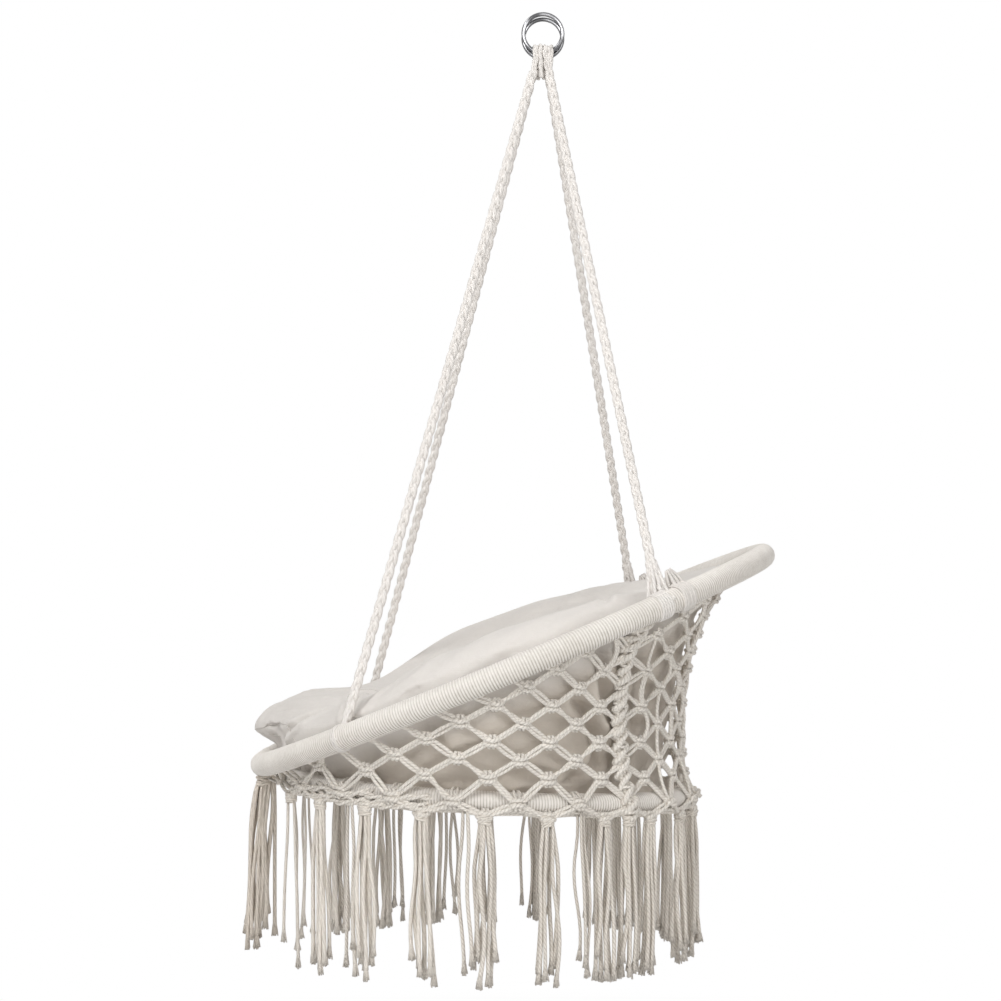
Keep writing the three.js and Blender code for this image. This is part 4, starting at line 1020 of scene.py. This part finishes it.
def addLashing(side, node, settings=lashingSettings):
    bundle = Bundle()
    high, low = hoopPoint(upperHoop, upperAngle(0.5 * side)), hoopPoint(lowerHoop, lowerAngle(0.5 * side))
    middleX = side * (abs(high[0]) + abs(low[0])) / 2
    a, b = np.array([high[1], high[2]]), np.array([low[1], low[2]])
    radii = upperHoop["wrapRadius"] - settings["upperBite"], lowerHoop["wrapRadius"] + settings["lowerGap"]
    heading = math.atan2(b[1] - a[1], b[0] - a[0])
    lean = math.acos((radii[0] - radii[1]) / np.linalg.norm(b - a))
    for turn in range(settings["turns"]):
        x = middleX + (turn - (settings["turns"] - 1) / 2) * settings["pitch"]
        slack = rng.uniform(0, settings["slack"])
        loop = [(b, radii[1] + slack, t) for t in np.linspace(heading - lean, heading + lean, 9)]
        back = np.linspace(heading + lean, heading + 2 * math.pi - lean, 15)
        loop += [(a, radii[0] + slack, t) for t in back]
        points = [(x + 0.0006 * math.sin(3 * t), c[0] + r * math.cos(t), c[1] + r * math.sin(t))
                  for c, r, t in loop]
        bundle.cord(points, settings["cord"], 6, closed=True)
    bundle.piece(node + "_turns", cordMaterials["wrapCord"], nodes=[node])


addLashing(1, "front_lashing_left")
addLashing(-1, "front_lashing_right")


# ties: the rope's strands spread and wind round the hoop
tieSettings = {
    "front": {"turns": 2, "turnCord": 0.0016, "spread": 0.0042, "swing": 0.0030, "taper": 0.72, "strands": 4},
    "rear": {"turns": 5, "turnCord": 0.0021, "spread": 0.0125, "swing": 0.0050, "taper": 1.08, "strands": 6},
}


def addTurns(bundle, hoop, angle, turns, radius):
    # turns of the rope's strands, laid between the hoop's own ribs
    stops = np.arange(24) * 2 * math.pi / 24
    for turn in range(turns):
        middle = turn - (turns - 1) / 2
        loop = roundHoop(hoop, angle, hoop["wrapRadius"] + radius * 0.2, stops,
                         lambda t: (middle + 0.2 * math.sin(t)) * hoop["pitch"])
        bundle.cord(loop, radius, 6, closed=True)


for rope in ropes:
    tie = tieSettings[rope["pair"]]
    angle = rope["side"] * rope["angle"]
    bundle = Bundle()
    addTurns(bundle, upperHoop, angle, tie["turns"], tie["turnCord"])
    tangent, out = outward(upperHoop, angle + math.pi / 2), outward(upperHoop, angle)
    start = rope["end"] - rope["down"] * 0.003
    landing = rope["foot"] - rope["down"] * (upperHoop["wrapRadius"] - 0.001)
    plait(bundle, np.linspace(start, landing, 12), {**ropeSettings, "swing": tie["swing"], "pitch": 0.052},
          phase=rope["slot"] * 300 + 1.0, taper=((0, 1), (1.0, tie["taper"])))
    for i in range(tie["strands"]):
        share = i / (tie["strands"] - 1) * 2 - 1
        front = 1 if i % 2 else -1
        beside = tangent * share * tie["spread"]
        first = start + tangent * share * 0.0042 + out * front * 0.0022
        middle = landing + beside + out * front * 0.006 - rope["down"] * 0.001
        tuck = rope["foot"] + beside * 1.1 + out * front * (upperHoop["wrapRadius"] + 0.0006)
        tuck = tuck - rope["down"] * 0.002
        bend = mixed(first, middle, 0.55) - tangent * share * 0.001
        bundle.cord(smoothPath([first, bend, middle, tuck], 5), np.linspace(0.0028, 0.0021, 16), 7)
    name = "rope_tie_" + rope["name"]
    bundle.piece(name + "_turns", cordMaterials["ropeStrand"], nodes=[name])


# straps: cloth gathered into folds, wound over the hoop and pulled in to a narrow neck
strapSettings = {"folds": 6, "angle": rearRopeAngle + math.radians(5.6), "width": 0.0082, "cord": 0.0021,
                 "depth": 0.0022}
for name, side, neckHeight in (("cushion_strap_left", 1, 0.0215), ("cushion_strap_right", -1, 0.0150)):
    angle = side * strapSettings["angle"]
    bundle = Bundle()
    centre, tangent = hoopPoint(upperHoop, angle), outward(upperHoop, angle + math.pi / 2) * side
    out, up = outward(upperHoop, angle), normalOf(upperHoop)
    for fold in range(strapSettings["folds"]):
        share = fold / 2.5 - 1
        size = upperHoop["wrapRadius"] + 0.0010 + 0.0007 * (fold % 2)
        wound = np.linspace(-0.55 * math.pi, 1.45 * math.pi, 22)
        loop = [centre + tangent * (share * strapSettings["width"] + 0.0006 * math.sin(3 * t))
                + out * size * math.cos(t) + up * size * math.sin(t) for t in wound]
        bundle.cord(loop, strapSettings["cord"], 6)
        depth = out * strapSettings["depth"] * (1 if fold % 2 else -1)
        foot = centre + up * (size - 0.004) + tangent * share * 0.0086 + depth * 2.4
        waist = centre + up * (size + 0.008) + tangent * (share * 0.0074 - 0.0006) + depth * 1.4
        neck = centre + up * (size + neckHeight) + tangent * (share * 0.0026 - 0.0032) + depth * 0.5
        bundle.cord(smoothPath([foot, waist, neck], 6), np.linspace(0.0030, 0.0019, 13), 7)
    bundle.piece(name + "_folds", cushionCloth, "cushion_cloth", nodes=[name])
report("ties wound")


# the seat net under the cushion
seatSettings = {"pitch": 0.050, "margin": 0.014, "eachWay": 6, "knotReach": 0.004}
seatCords, seatKnots = Bundle(), Bundle()
seatNormal = normalOf(lowerHoop)
seatAcross = np.array([1.0, 0, 0])
seatUp = np.cross(seatNormal, seatAcross)
innerRadius = lowerHoop["radius"] - lowerHoop["wrapRadius"]


def seatPlace(x, y):
    pitch = seatSettings["pitch"]
    return np.array(lowerHoop["centre"]) + seatAcross * x * pitch + seatUp * y * pitch


def seatFits(x, y):
    away = math.hypot(x, y) * seatSettings["pitch"]
    return (x + y) % 2 == 0 and away <= innerRadius - seatSettings["margin"]


seatSteps = range(-seatSettings["eachWay"], seatSettings["eachWay"] + 1)
for x in seatSteps:
    for y in seatSteps:
        if not seatFits(x, y):
            continue
        place = seatPlace(x, y)
        addKnot(seatKnots, place, seatAcross, seatUp, -seatNormal)
        for stepX, stepY in ((1, 1), (-1, 1), (1, -1), (-1, -1)):
            way = unit(seatAcross * stepX + seatUp * stepY)
            start = place + way * seatSettings["knotReach"]
            if seatFits(x + stepX, y + stepY):
                if stepY > 0:
                    end = seatPlace(x + stepX, y + stepY) - way * seatSettings["knotReach"]
                    addPair(seatCords, start, end, seatNormal, seatAcross * stepX, seatAcross * stepX)
                continue
            px, py = x * seatSettings["pitch"], y * seatSettings["pitch"]
            half = (px * stepX + py * stepY) / math.sqrt(2)
            length = -half + math.sqrt(half * half + (innerRadius + 0.002) ** 2 - px * px - py * py)
            addPair(seatCords, start, place + way * length, seatNormal, way * 0, way * 0)
seatCords.piece("seatNetCords", cordMaterials["netCord"], nodes=["seat_net"])
seatKnots.piece("seatNetKnots", cordMaterials["knotCord"])
report("seat net knotted")


# the cushion
cushionSettings = {
    "segments": 128,
    "voxel": 0.0068,
    "pressure": 4.0,
    "frames": 20,
    "capTop": 0.0018,
    "capSide": 0.003,
    "rimGap": 0.026,
    "rimRearLean": 0.034,
    "seatInset": 0.018,
    "seatRearInset": 0.048,
    "floor": 0.0038,
    "overLower": 0.02075,
    "overUpper": 0.0197,
    "netGap": 0.00325,
    "sideGap": 0.007,
    "sideRearGap": 0.012,
    "tilt": 0.006,
    "seatHeight": 0.112,
    "middleRadius": 0.015,
    "middleHeight": 0.108,
    "ropeRoom": {"front": (0.0115, 34.0), "rear": (0.014, 20.4)},  # room, and how fast it narrows sideways
    "channels": 8,
    "channelDepth": 0.004,
    "valleyDepth": 0.0046,
    "valleyWidth": 0.008,
    "pucker": 0.0008,
    "puckerPitch": 0.024,
    "puckerWidth": 0.034,
    "broad": 0.0015,
    "fine": 0.0009,
    "fold": 0.0065,
    "seam": 0.0010,
    "cornerSeam": 0.0009,
}

# how high the crest stands over the upper hoop's plane, by degrees from the front
crestStops = [(0, 0.068), (20, 0.068), (30, 0.057), (40, 0.040), (50, 0.035), (60, 0.045), (70, 0.054),
              (80, 0.057), (100, 0.0535), (110, 0.0475), (120, 0.0405), (130, 0.029), (145, 0.013),
              (180, 0.010)]


def cushionProfile(angle, settings=cushionSettings):
    side = abs(math.atan2(math.sin(angle), math.cos(angle)))
    cosine = math.cos(angle)
    corner = math.exp(-((side / math.radians(15)) ** 2))
    front, rear = smoothstep(cosine, 0.2, 1), smoothstep(-cosine, 0, 1)
    channel = settings["channelDepth"] * (0.5 - 0.5 * math.cos(settings["channels"] * angle))
    stops = [math.degrees(side) + shift for shift in (-4, -2, 0, 2, 4)]
    rise = float(np.mean(np.interp(np.abs(stops), *zip(*crestStops)))) - settings["tilt"] * math.sin(angle)
    upper, lower = upperHoop["radius"], lowerHoop["radius"]
    rim = upper - settings["rimGap"] - settings["rimRearLean"] * rear
    seat = lower - mixed(settings["seatInset"], settings["seatRearInset"], rear)
    floor, overLower, overUpper = settings["floor"], settings["overLower"], settings["overUpper"]
    seatHeight = settings["seatHeight"]

    def low(radius, height):
        return planePoint(lowerHoop, radius, angle, height)

    def high(radius, height):
        return planePoint(upperHoop, radius, angle, height)

    column = angle / math.pi / 2 * netSettings["columns"]
    room = high(upper, 0)[2] - low(lower, 0)[2]
    gap = settings["netGap"] + mixed(settings["sideGap"], settings["sideRearGap"], rear)
    inward = np.array([-math.sin(angle), cosine, 0.0])

    def besideNet(share):
        return netPoint(column, room * share, 0.0015) + inward * gap

    return [
        low(seat * 0.55, floor),
        low(seat, floor),
        low(seat + overLower * 0.6, overLower),
        mixed(besideNet(0.42), low(lower - overLower / 2, overLower + 0.0003), front),
        mixed(besideNet(0.72), high(rim - overLower, overLower / 2), front),
        high(rim - 0.0003 * corner, overUpper / 2 * corner),
        high(mixed(rim, 0.352, corner), mixed(min(overUpper, rise * 0.45), overUpper + 0.0006, corner)),
        high(mixed(rim - 0.008, 0.381, corner), mixed(rise * 0.72, 0.049, corner)),
        high(upper * mixed(0.83, 0.90, corner), rise),
        high(upper * 0.72, rise * 0.84 - channel),
        high(upper * 0.56, mixed(-0.012, 0.028, front)),
        low(lower * 0.5, seatHeight - channel),
        low(lower * 0.25, seatHeight),
    ]


def loosePoints(mesh):
    points = np.empty(len(mesh.vertices) * 3)
    mesh.vertices.foreach_get("co", points)
    return points.reshape(-1, 3)


def setPoints(mesh, points):
    mesh.vertices.foreach_set("co", np.asarray(points, dtype=np.float32).ravel())
    mesh.update()


def pointNormals(mesh):
    normals = np.empty(len(mesh.vertices) * 3, dtype=np.float32)
    mesh.vertex_normals.foreach_get("vector", normals)
    return normals.reshape(-1, 3).astype(float)


def keepOffRopes(points, settings):
    # the pad gives way round each rope, in towards the middle of the chair
    for rope in ropes:
        start, along = rope["foot"], -rope["down"]
        inward = np.array([-rope["foot"][0], lowerHoop["centre"][1] - rope["foot"][1], 0.0])
        inward = unit(inward - along * inward.dot(along))
        across = np.cross(along, inward)
        near = points - start
        height, depth, beside = near @ along, near @ inward, near @ across
        room, bow = settings["ropeRoom"][rope["pair"]]
        touched = (height > -0.01) & (height < 0.16) & (np.abs(beside) < 0.05) & (depth > -0.05)
        push = np.where(touched, room - bow * beside ** 2 - depth, 0)
        points = points + inward * np.clip(push, 0, None)[:, None]
    return points


def puffUp(cushion, settings):
    # the padding swells the cover, and each point may move only so far
    start = loosePoints(cushion.data)
    cloth = cushion.modifiers.new("padding", "CLOTH")
    cloth.settings.quality = 4
    cloth.settings.use_pressure = True
    cloth.settings.uniform_pressure_force = settings["pressure"]
    cloth.settings.effector_weights.gravity = 0
    cloth.point_cache.frame_start, cloth.point_cache.frame_end = 1, settings["frames"]
    for step in range(1, settings["frames"] + 1):
        scene.frame_set(step)
    swollen = loosePoints(cushion.evaluated_get(bpy.context.evaluated_depsgraph_get()).data)
    cushion.modifiers.remove(cloth)
    scene.frame_set(1)
    move = swollen - start
    reach = np.linalg.norm(move, axis=1)
    normals = pointNormals(cushion.data)
    cap = np.where(normals[:, 2] > 0.25, settings["capTop"], settings["capSide"])
    share = cap * np.tanh(reach / cap) / np.maximum(reach, 1e-9)
    setPoints(cushion.data, start + move * share[:, None])


def wrinkle(points, normals, settings, creases):
    # puckers and valleys along the sewn channels, folds on the side
    x, y, z = points[:, 0], points[:, 1] - lowerHoop["centre"][1], points[:, 2]
    angle, radius = np.arctan2(x, -y), np.hypot(x, y)
    top = np.clip((normals[:, 2] - 0.1) * 2.5, 0, 1)
    side = np.clip((0.35 - normals[:, 2]) * 2.5, 0, 1) * (z > lowerHoop["centre"][2] + 0.02)
    pitch = 2 * math.pi / settings["channels"]
    offset = angle % pitch - pitch / 2
    away = radius * np.abs(np.sin(offset))
    pucker = np.sin(radius / settings["puckerPitch"] * 2 * math.pi + angle * 9) * settings["pucker"]
    pucker = pucker * np.exp(-((away / settings["puckerWidth"]) ** 2)) * np.clip((radius - 0.10) * 12, 0, 1)
    inside = np.clip((radius - 0.05) * 20, 0, 1) * np.clip((0.30 - radius) * 14, 0, 1)
    valley = -np.exp(-((away / settings["valleyWidth"]) ** 2)) * settings["valleyDepth"] * inside
    warp = np.sin(x * 21 + z * 13) + np.sin(y * 17 - z * 19 + 1.3)
    broad = np.sin(x * 34 + y * 11 + warp) * np.sin(y * 29 - x * 9 + 0.7 * warp) * settings["broad"]
    fine = np.sin(x * 95 + y * 60 + 2.2 * warp) * np.sin(z * 80 - y * 41 + 1.7 * warp) * settings["fine"]
    slope = np.sin(angle * 13 + z * 16 + 1.1 * warp)
    sharp = -np.clip(slope - 0.35, 0, 1) ** 1.3 * settings["fold"] * 1.6
    second = -np.clip(np.sin(angle * 7 - z * 34 + warp * 0.8 + 2.0) - 0.6, 0, 1) * settings["fold"] * 2.2
    lift = top * (pucker + valley + broad) + side * (sharp + second) + fine
    # the cover creases where it is pulled over the hoop, on its crest and behind the net
    for line, depth, width in creases:
        gap, share = np.full(len(points), 1.0), np.zeros(len(points))
        for i, (start, end) in enumerate(zip(line[:-1], line[1:])):
            along = end - start
            t = np.clip(((points - start) @ along) / along.dot(along), 0, 1)
            distance = np.linalg.norm(points - (start + t[:, None] * along), axis=1)
            share = np.where(distance < gap, (i + t) / (len(line) - 1), share)
            gap = np.minimum(gap, distance)
        strength = depth * np.sqrt(np.clip(np.sin(math.pi * share), 0, 1))  # a crease runs out at both ends
        lift = lift - strength * np.exp(-((gap / width) ** 2))
        lift = lift + strength * 0.45 * np.exp(-(((gap - width * 2.1) / width) ** 2))
    return points + normals * lift[:, None]


# creases as the photo shows them, in its pixels, with their depth and width
creaseLines = [
    ([(283, 735), (289, 728), (305, 716), (322, 708), (339, 701)], 0.0085, 0.0054),
    ([(358, 694), (353, 703), (347, 722)], 0.0130, 0.0050),
    ([(262, 716), (280, 711), (300, 707), (325, 703), (350, 701)], 0.0075, 0.0260),
    ([(262, 724), (278, 715), (298, 709)], 0.0022, 0.0060),
    ([(272, 709), (292, 701), (312, 700)], 0.0018, 0.0070),
    ([(598, 606), (606, 599), (613, 590)], 0.0040, 0.0060),
    ([(566, 604), (590, 600), (604, 602)], 0.0022, 0.0060),
    ([(480, 655), (520, 640), (560, 628)], 0.0012, 0.0100),
    ([(572, 698), (590, 716), (598, 745), (592, 776)], 0.0200, 0.0085),
    ([(500, 776), (530, 771), (560, 777)], 0.0095, 0.0080),
    ([(600, 640), (604, 680), (606, 720)], 0.0130, 0.0085),
    ([(618, 700), (628, 740), (622, 775)], 0.0090, 0.0080),
    ([(430, 770), (470, 750), (505, 752)], 0.0050, 0.0090),
]


# the seam under the corner's tip, in the photo's pixels
cornerSeam = [(256, 729.5), (263, 732), (271, 733.5), (281, 735)]


def seenSpots(tree, line):
    # where the camera's rays through these pixels meet the cover
    focal, (middleX, middleY) = cameraSettings["focalPixels"], cameraSettings["middlePixel"]
    spots = []
    for px, py in line:
        way = np.array([-1.0, (px - middleX) / focal, -(py - middleY) / focal])
        spot = tree.ray_cast(Vector(cameraSettings["place"]), Vector(unit(way)))[0]
        if spot is not None:
            spots.append(np.array(spot))
    return spots


def addCushion(settings):
    segments = settings["segments"]
    rings = []
    for i in range(segments):
        angle = i / segments * 2 * math.pi
        below, above = [planePoint(lowerHoop, settings["middleRadius"], angle, height)
                        for height in (settings["floor"], settings["middleHeight"])]
        rings.append(smoothPath([below] + cushionProfile(angle) + [above], 4))
    rings = np.array(rings)
    rows = rings.shape[1]
    faces = []
    for i in range(segments):
        j = (i + 1) % segments
        faces += [(i * rows + k, j * rows + k, j * rows + k + 1, i * rows + k + 1) for k in range(rows - 1)]
    faces.append(tuple(i * rows for i in reversed(range(segments))))
    faces.append(tuple(i * rows + rows - 1 for i in range(segments)))
    cushion = makePiece("cushionPad", rings.reshape(-1, 3), faces, cushionCloth, ["cushion"])
    bpy.ops.object.select_all(action="DESELECT")
    bpy.context.view_layer.objects.active = cushion
    cushion.select_set(True)
    bpy.ops.object.mode_set(mode="EDIT")
    bpy.ops.mesh.select_all(action="SELECT")
    bpy.ops.mesh.normals_make_consistent(inside=False)
    bpy.ops.object.mode_set(mode="OBJECT")
    cushion.data.remesh_voxel_size = settings["voxel"] * 1
    bpy.ops.object.voxel_remesh()
    puffUp(cushion, settings)
    finer = cushion.modifiers.new("finer", "SUBSURF")
    finer.levels = finer.render_levels = 1
    bpy.ops.object.modifier_apply(modifier="finer")
    tree = BVHTree.FromObject(cushion, bpy.context.evaluated_depsgraph_get())
    creases = [(seenSpots(tree, line), depth, width) for line, depth, width in creaseLines]
    creases = [crease for crease in creases if len(crease[0]) > 1]
    points = wrinkle(loosePoints(cushion.data), pointNormals(cushion.data), settings, creases)
    setPoints(cushion.data, keepOffRopes(points, settings))
    bpy.ops.object.shade_smooth()
    return cushion


def addSeams(cushion, settings):
    # the edge seam and the sewn channels, laid on the finished cover
    tree = BVHTree.FromObject(cushion, bpy.context.evaluated_depsgraph_get())

    def onCover(place, sink):
        spot, normal, _, _ = tree.find_nearest(Vector(place))
        return np.array(spot) - np.array(normal) * sink

    bundle = Bundle()
    edge = []
    for i in range(180):
        angle = i / 180 * 2 * math.pi
        side = abs(math.atan2(math.sin(angle), math.cos(angle)))
        profile = cushionProfile(angle)
        edge.append(onCover(mixed(profile[5], profile[7], smoothstep(math.degrees(side), 34, 22)), 0.0002))
    bundle.cord(edge, settings["seam"], 6, closed=True)
    for channel in range(settings["channels"]):
        profile = cushionProfile((channel + 0.5) / settings["channels"] * 2 * math.pi)
        line = smoothPath([profile[12], profile[11], profile[10], mixed(profile[10], profile[9], 0.55)], 10)
        bundle.cord([onCover(place, 0.0003) for place in line], settings["seam"], 5)
    corner = seenSpots(tree, cornerSeam)
    if len(corner) > 2:
        bundle.cord(smoothPath(corner, 4), settings["cornerSeam"], 5)
    bundle.piece("cushionSeams", cordMaterials["cushionThread"], "cushion_cloth")


cushion = addCushion(cushionSettings)
addSeams(cushion, cushionSettings)
report("cushion filled and sewn")

addLooseCords()
report("loose cords hung")


# floor, backdrop and light
stageSettings = {"floorZ": -1.72, "nearShare": 0.6, "fadeStart": 0.8, "fadeEnd": 2.0, "worldLight": 0.24}


def seenBy(tree, *kinds):
    # 1 for rays of these kinds, 0 for the others
    rays = addNode(tree, "LightPath", {}).outputs
    seen = rays["Is %s Ray" % kinds[0]]
    for kind in kinds[1:]:
        seen = addMath(tree, "MAXIMUM", seen, rays["Is %s Ray" % kind])
    return seen


def joinShaders(tree, share, first, second, output):
    blend = addNode(tree, "MixShader", {"Fac": share, 1: first.outputs[0], 2: second.outputs[0]})
    fill(tree, tree.nodes[output], {"Surface": blend.outputs[0]})


def addStage(settings):
    bpy.ops.object.select_all(action="DESELECT")
    bpy.ops.mesh.primitive_plane_add(size=60, location=(0, 0, settings["floorZ"]))
    floor = bpy.context.object
    floor.name = "floor"
    bpy.ops.object.transform_apply(location=True)
    material, tree, shader = newMaterial("paleFloor", 0.9)
    shader.inputs["Base Color"].default_value = (0.86, 0.86, 0.86, 1)
    spot = partsOf(tree, coordinate(tree, "Object"))
    squares = [addMath(tree, "POWER", spot[axis], 2.0) for axis in "XY"]
    fade = addNode(tree, "MapRange", {
        "Value": addMath(tree, "SQRT", plus(tree, *squares)), "From Min": settings["fadeStart"],
        "From Max": settings["fadeEnd"], "To Min": settings["nearShare"], "To Max": 1.0,
    }, interpolation_type="SMOOTHSTEP")
    share = times(tree, seenBy(tree, "Camera", "Glossy"), fade.outputs["Result"])
    joinShaders(tree, share, shader, addNode(tree, "Emission", {"Color": (1, 1, 1, 1)}), "Material Output")
    floor.data.materials.append(material)


def addWorld(settings):
    world = bpy.data.worlds.new("studio")
    scene.world = world
    world.use_nodes = True
    tree = world.node_tree
    base = tree.nodes["Background"]
    fill(tree, base, {"Color": (1.0, 0.965, 0.92, 1), "Strength": settings["worldLight"]})
    bright = addNode(tree, "Background", {"Color": (1, 1, 1, 1), "Strength": 1.0})
    joinShaders(tree, seenBy(tree, "Camera", "Glossy", "Transmission"), base, bright, "World Output")


def addLamp(name, place, target, size, energy):
    data = bpy.data.lights.new(name, "AREA")
    data.shape = "DISK"
    data.size = size
    data.energy = energy
    lamp = bpy.data.objects.new(name, data)
    scene.collection.objects.link(lamp)
    lamp.location = place
    lamp.rotation_euler = (Vector(target) - Vector(place)).to_track_quat("-Z", "Y").to_euler()


addStage(stageSettings)
addWorld(stageSettings)
addLamp("keyLamp", (0.9, -2.3, 2.5), (0, -0.05, -0.95), 1.0, 53)
addLamp("sideLamp", (3.0, -1.2, 0.5), (0, -0.05, -1.0), 1.6, 44)
addLamp("fillLamp", (3.0, 1.9, 0.2), (0, 0, -0.95), 2.2, 36)
addLamp("backLamp", (-2.2, 2.0, 1.6), (0, 0, -0.9), 2.0, 34)
report("stage lit")
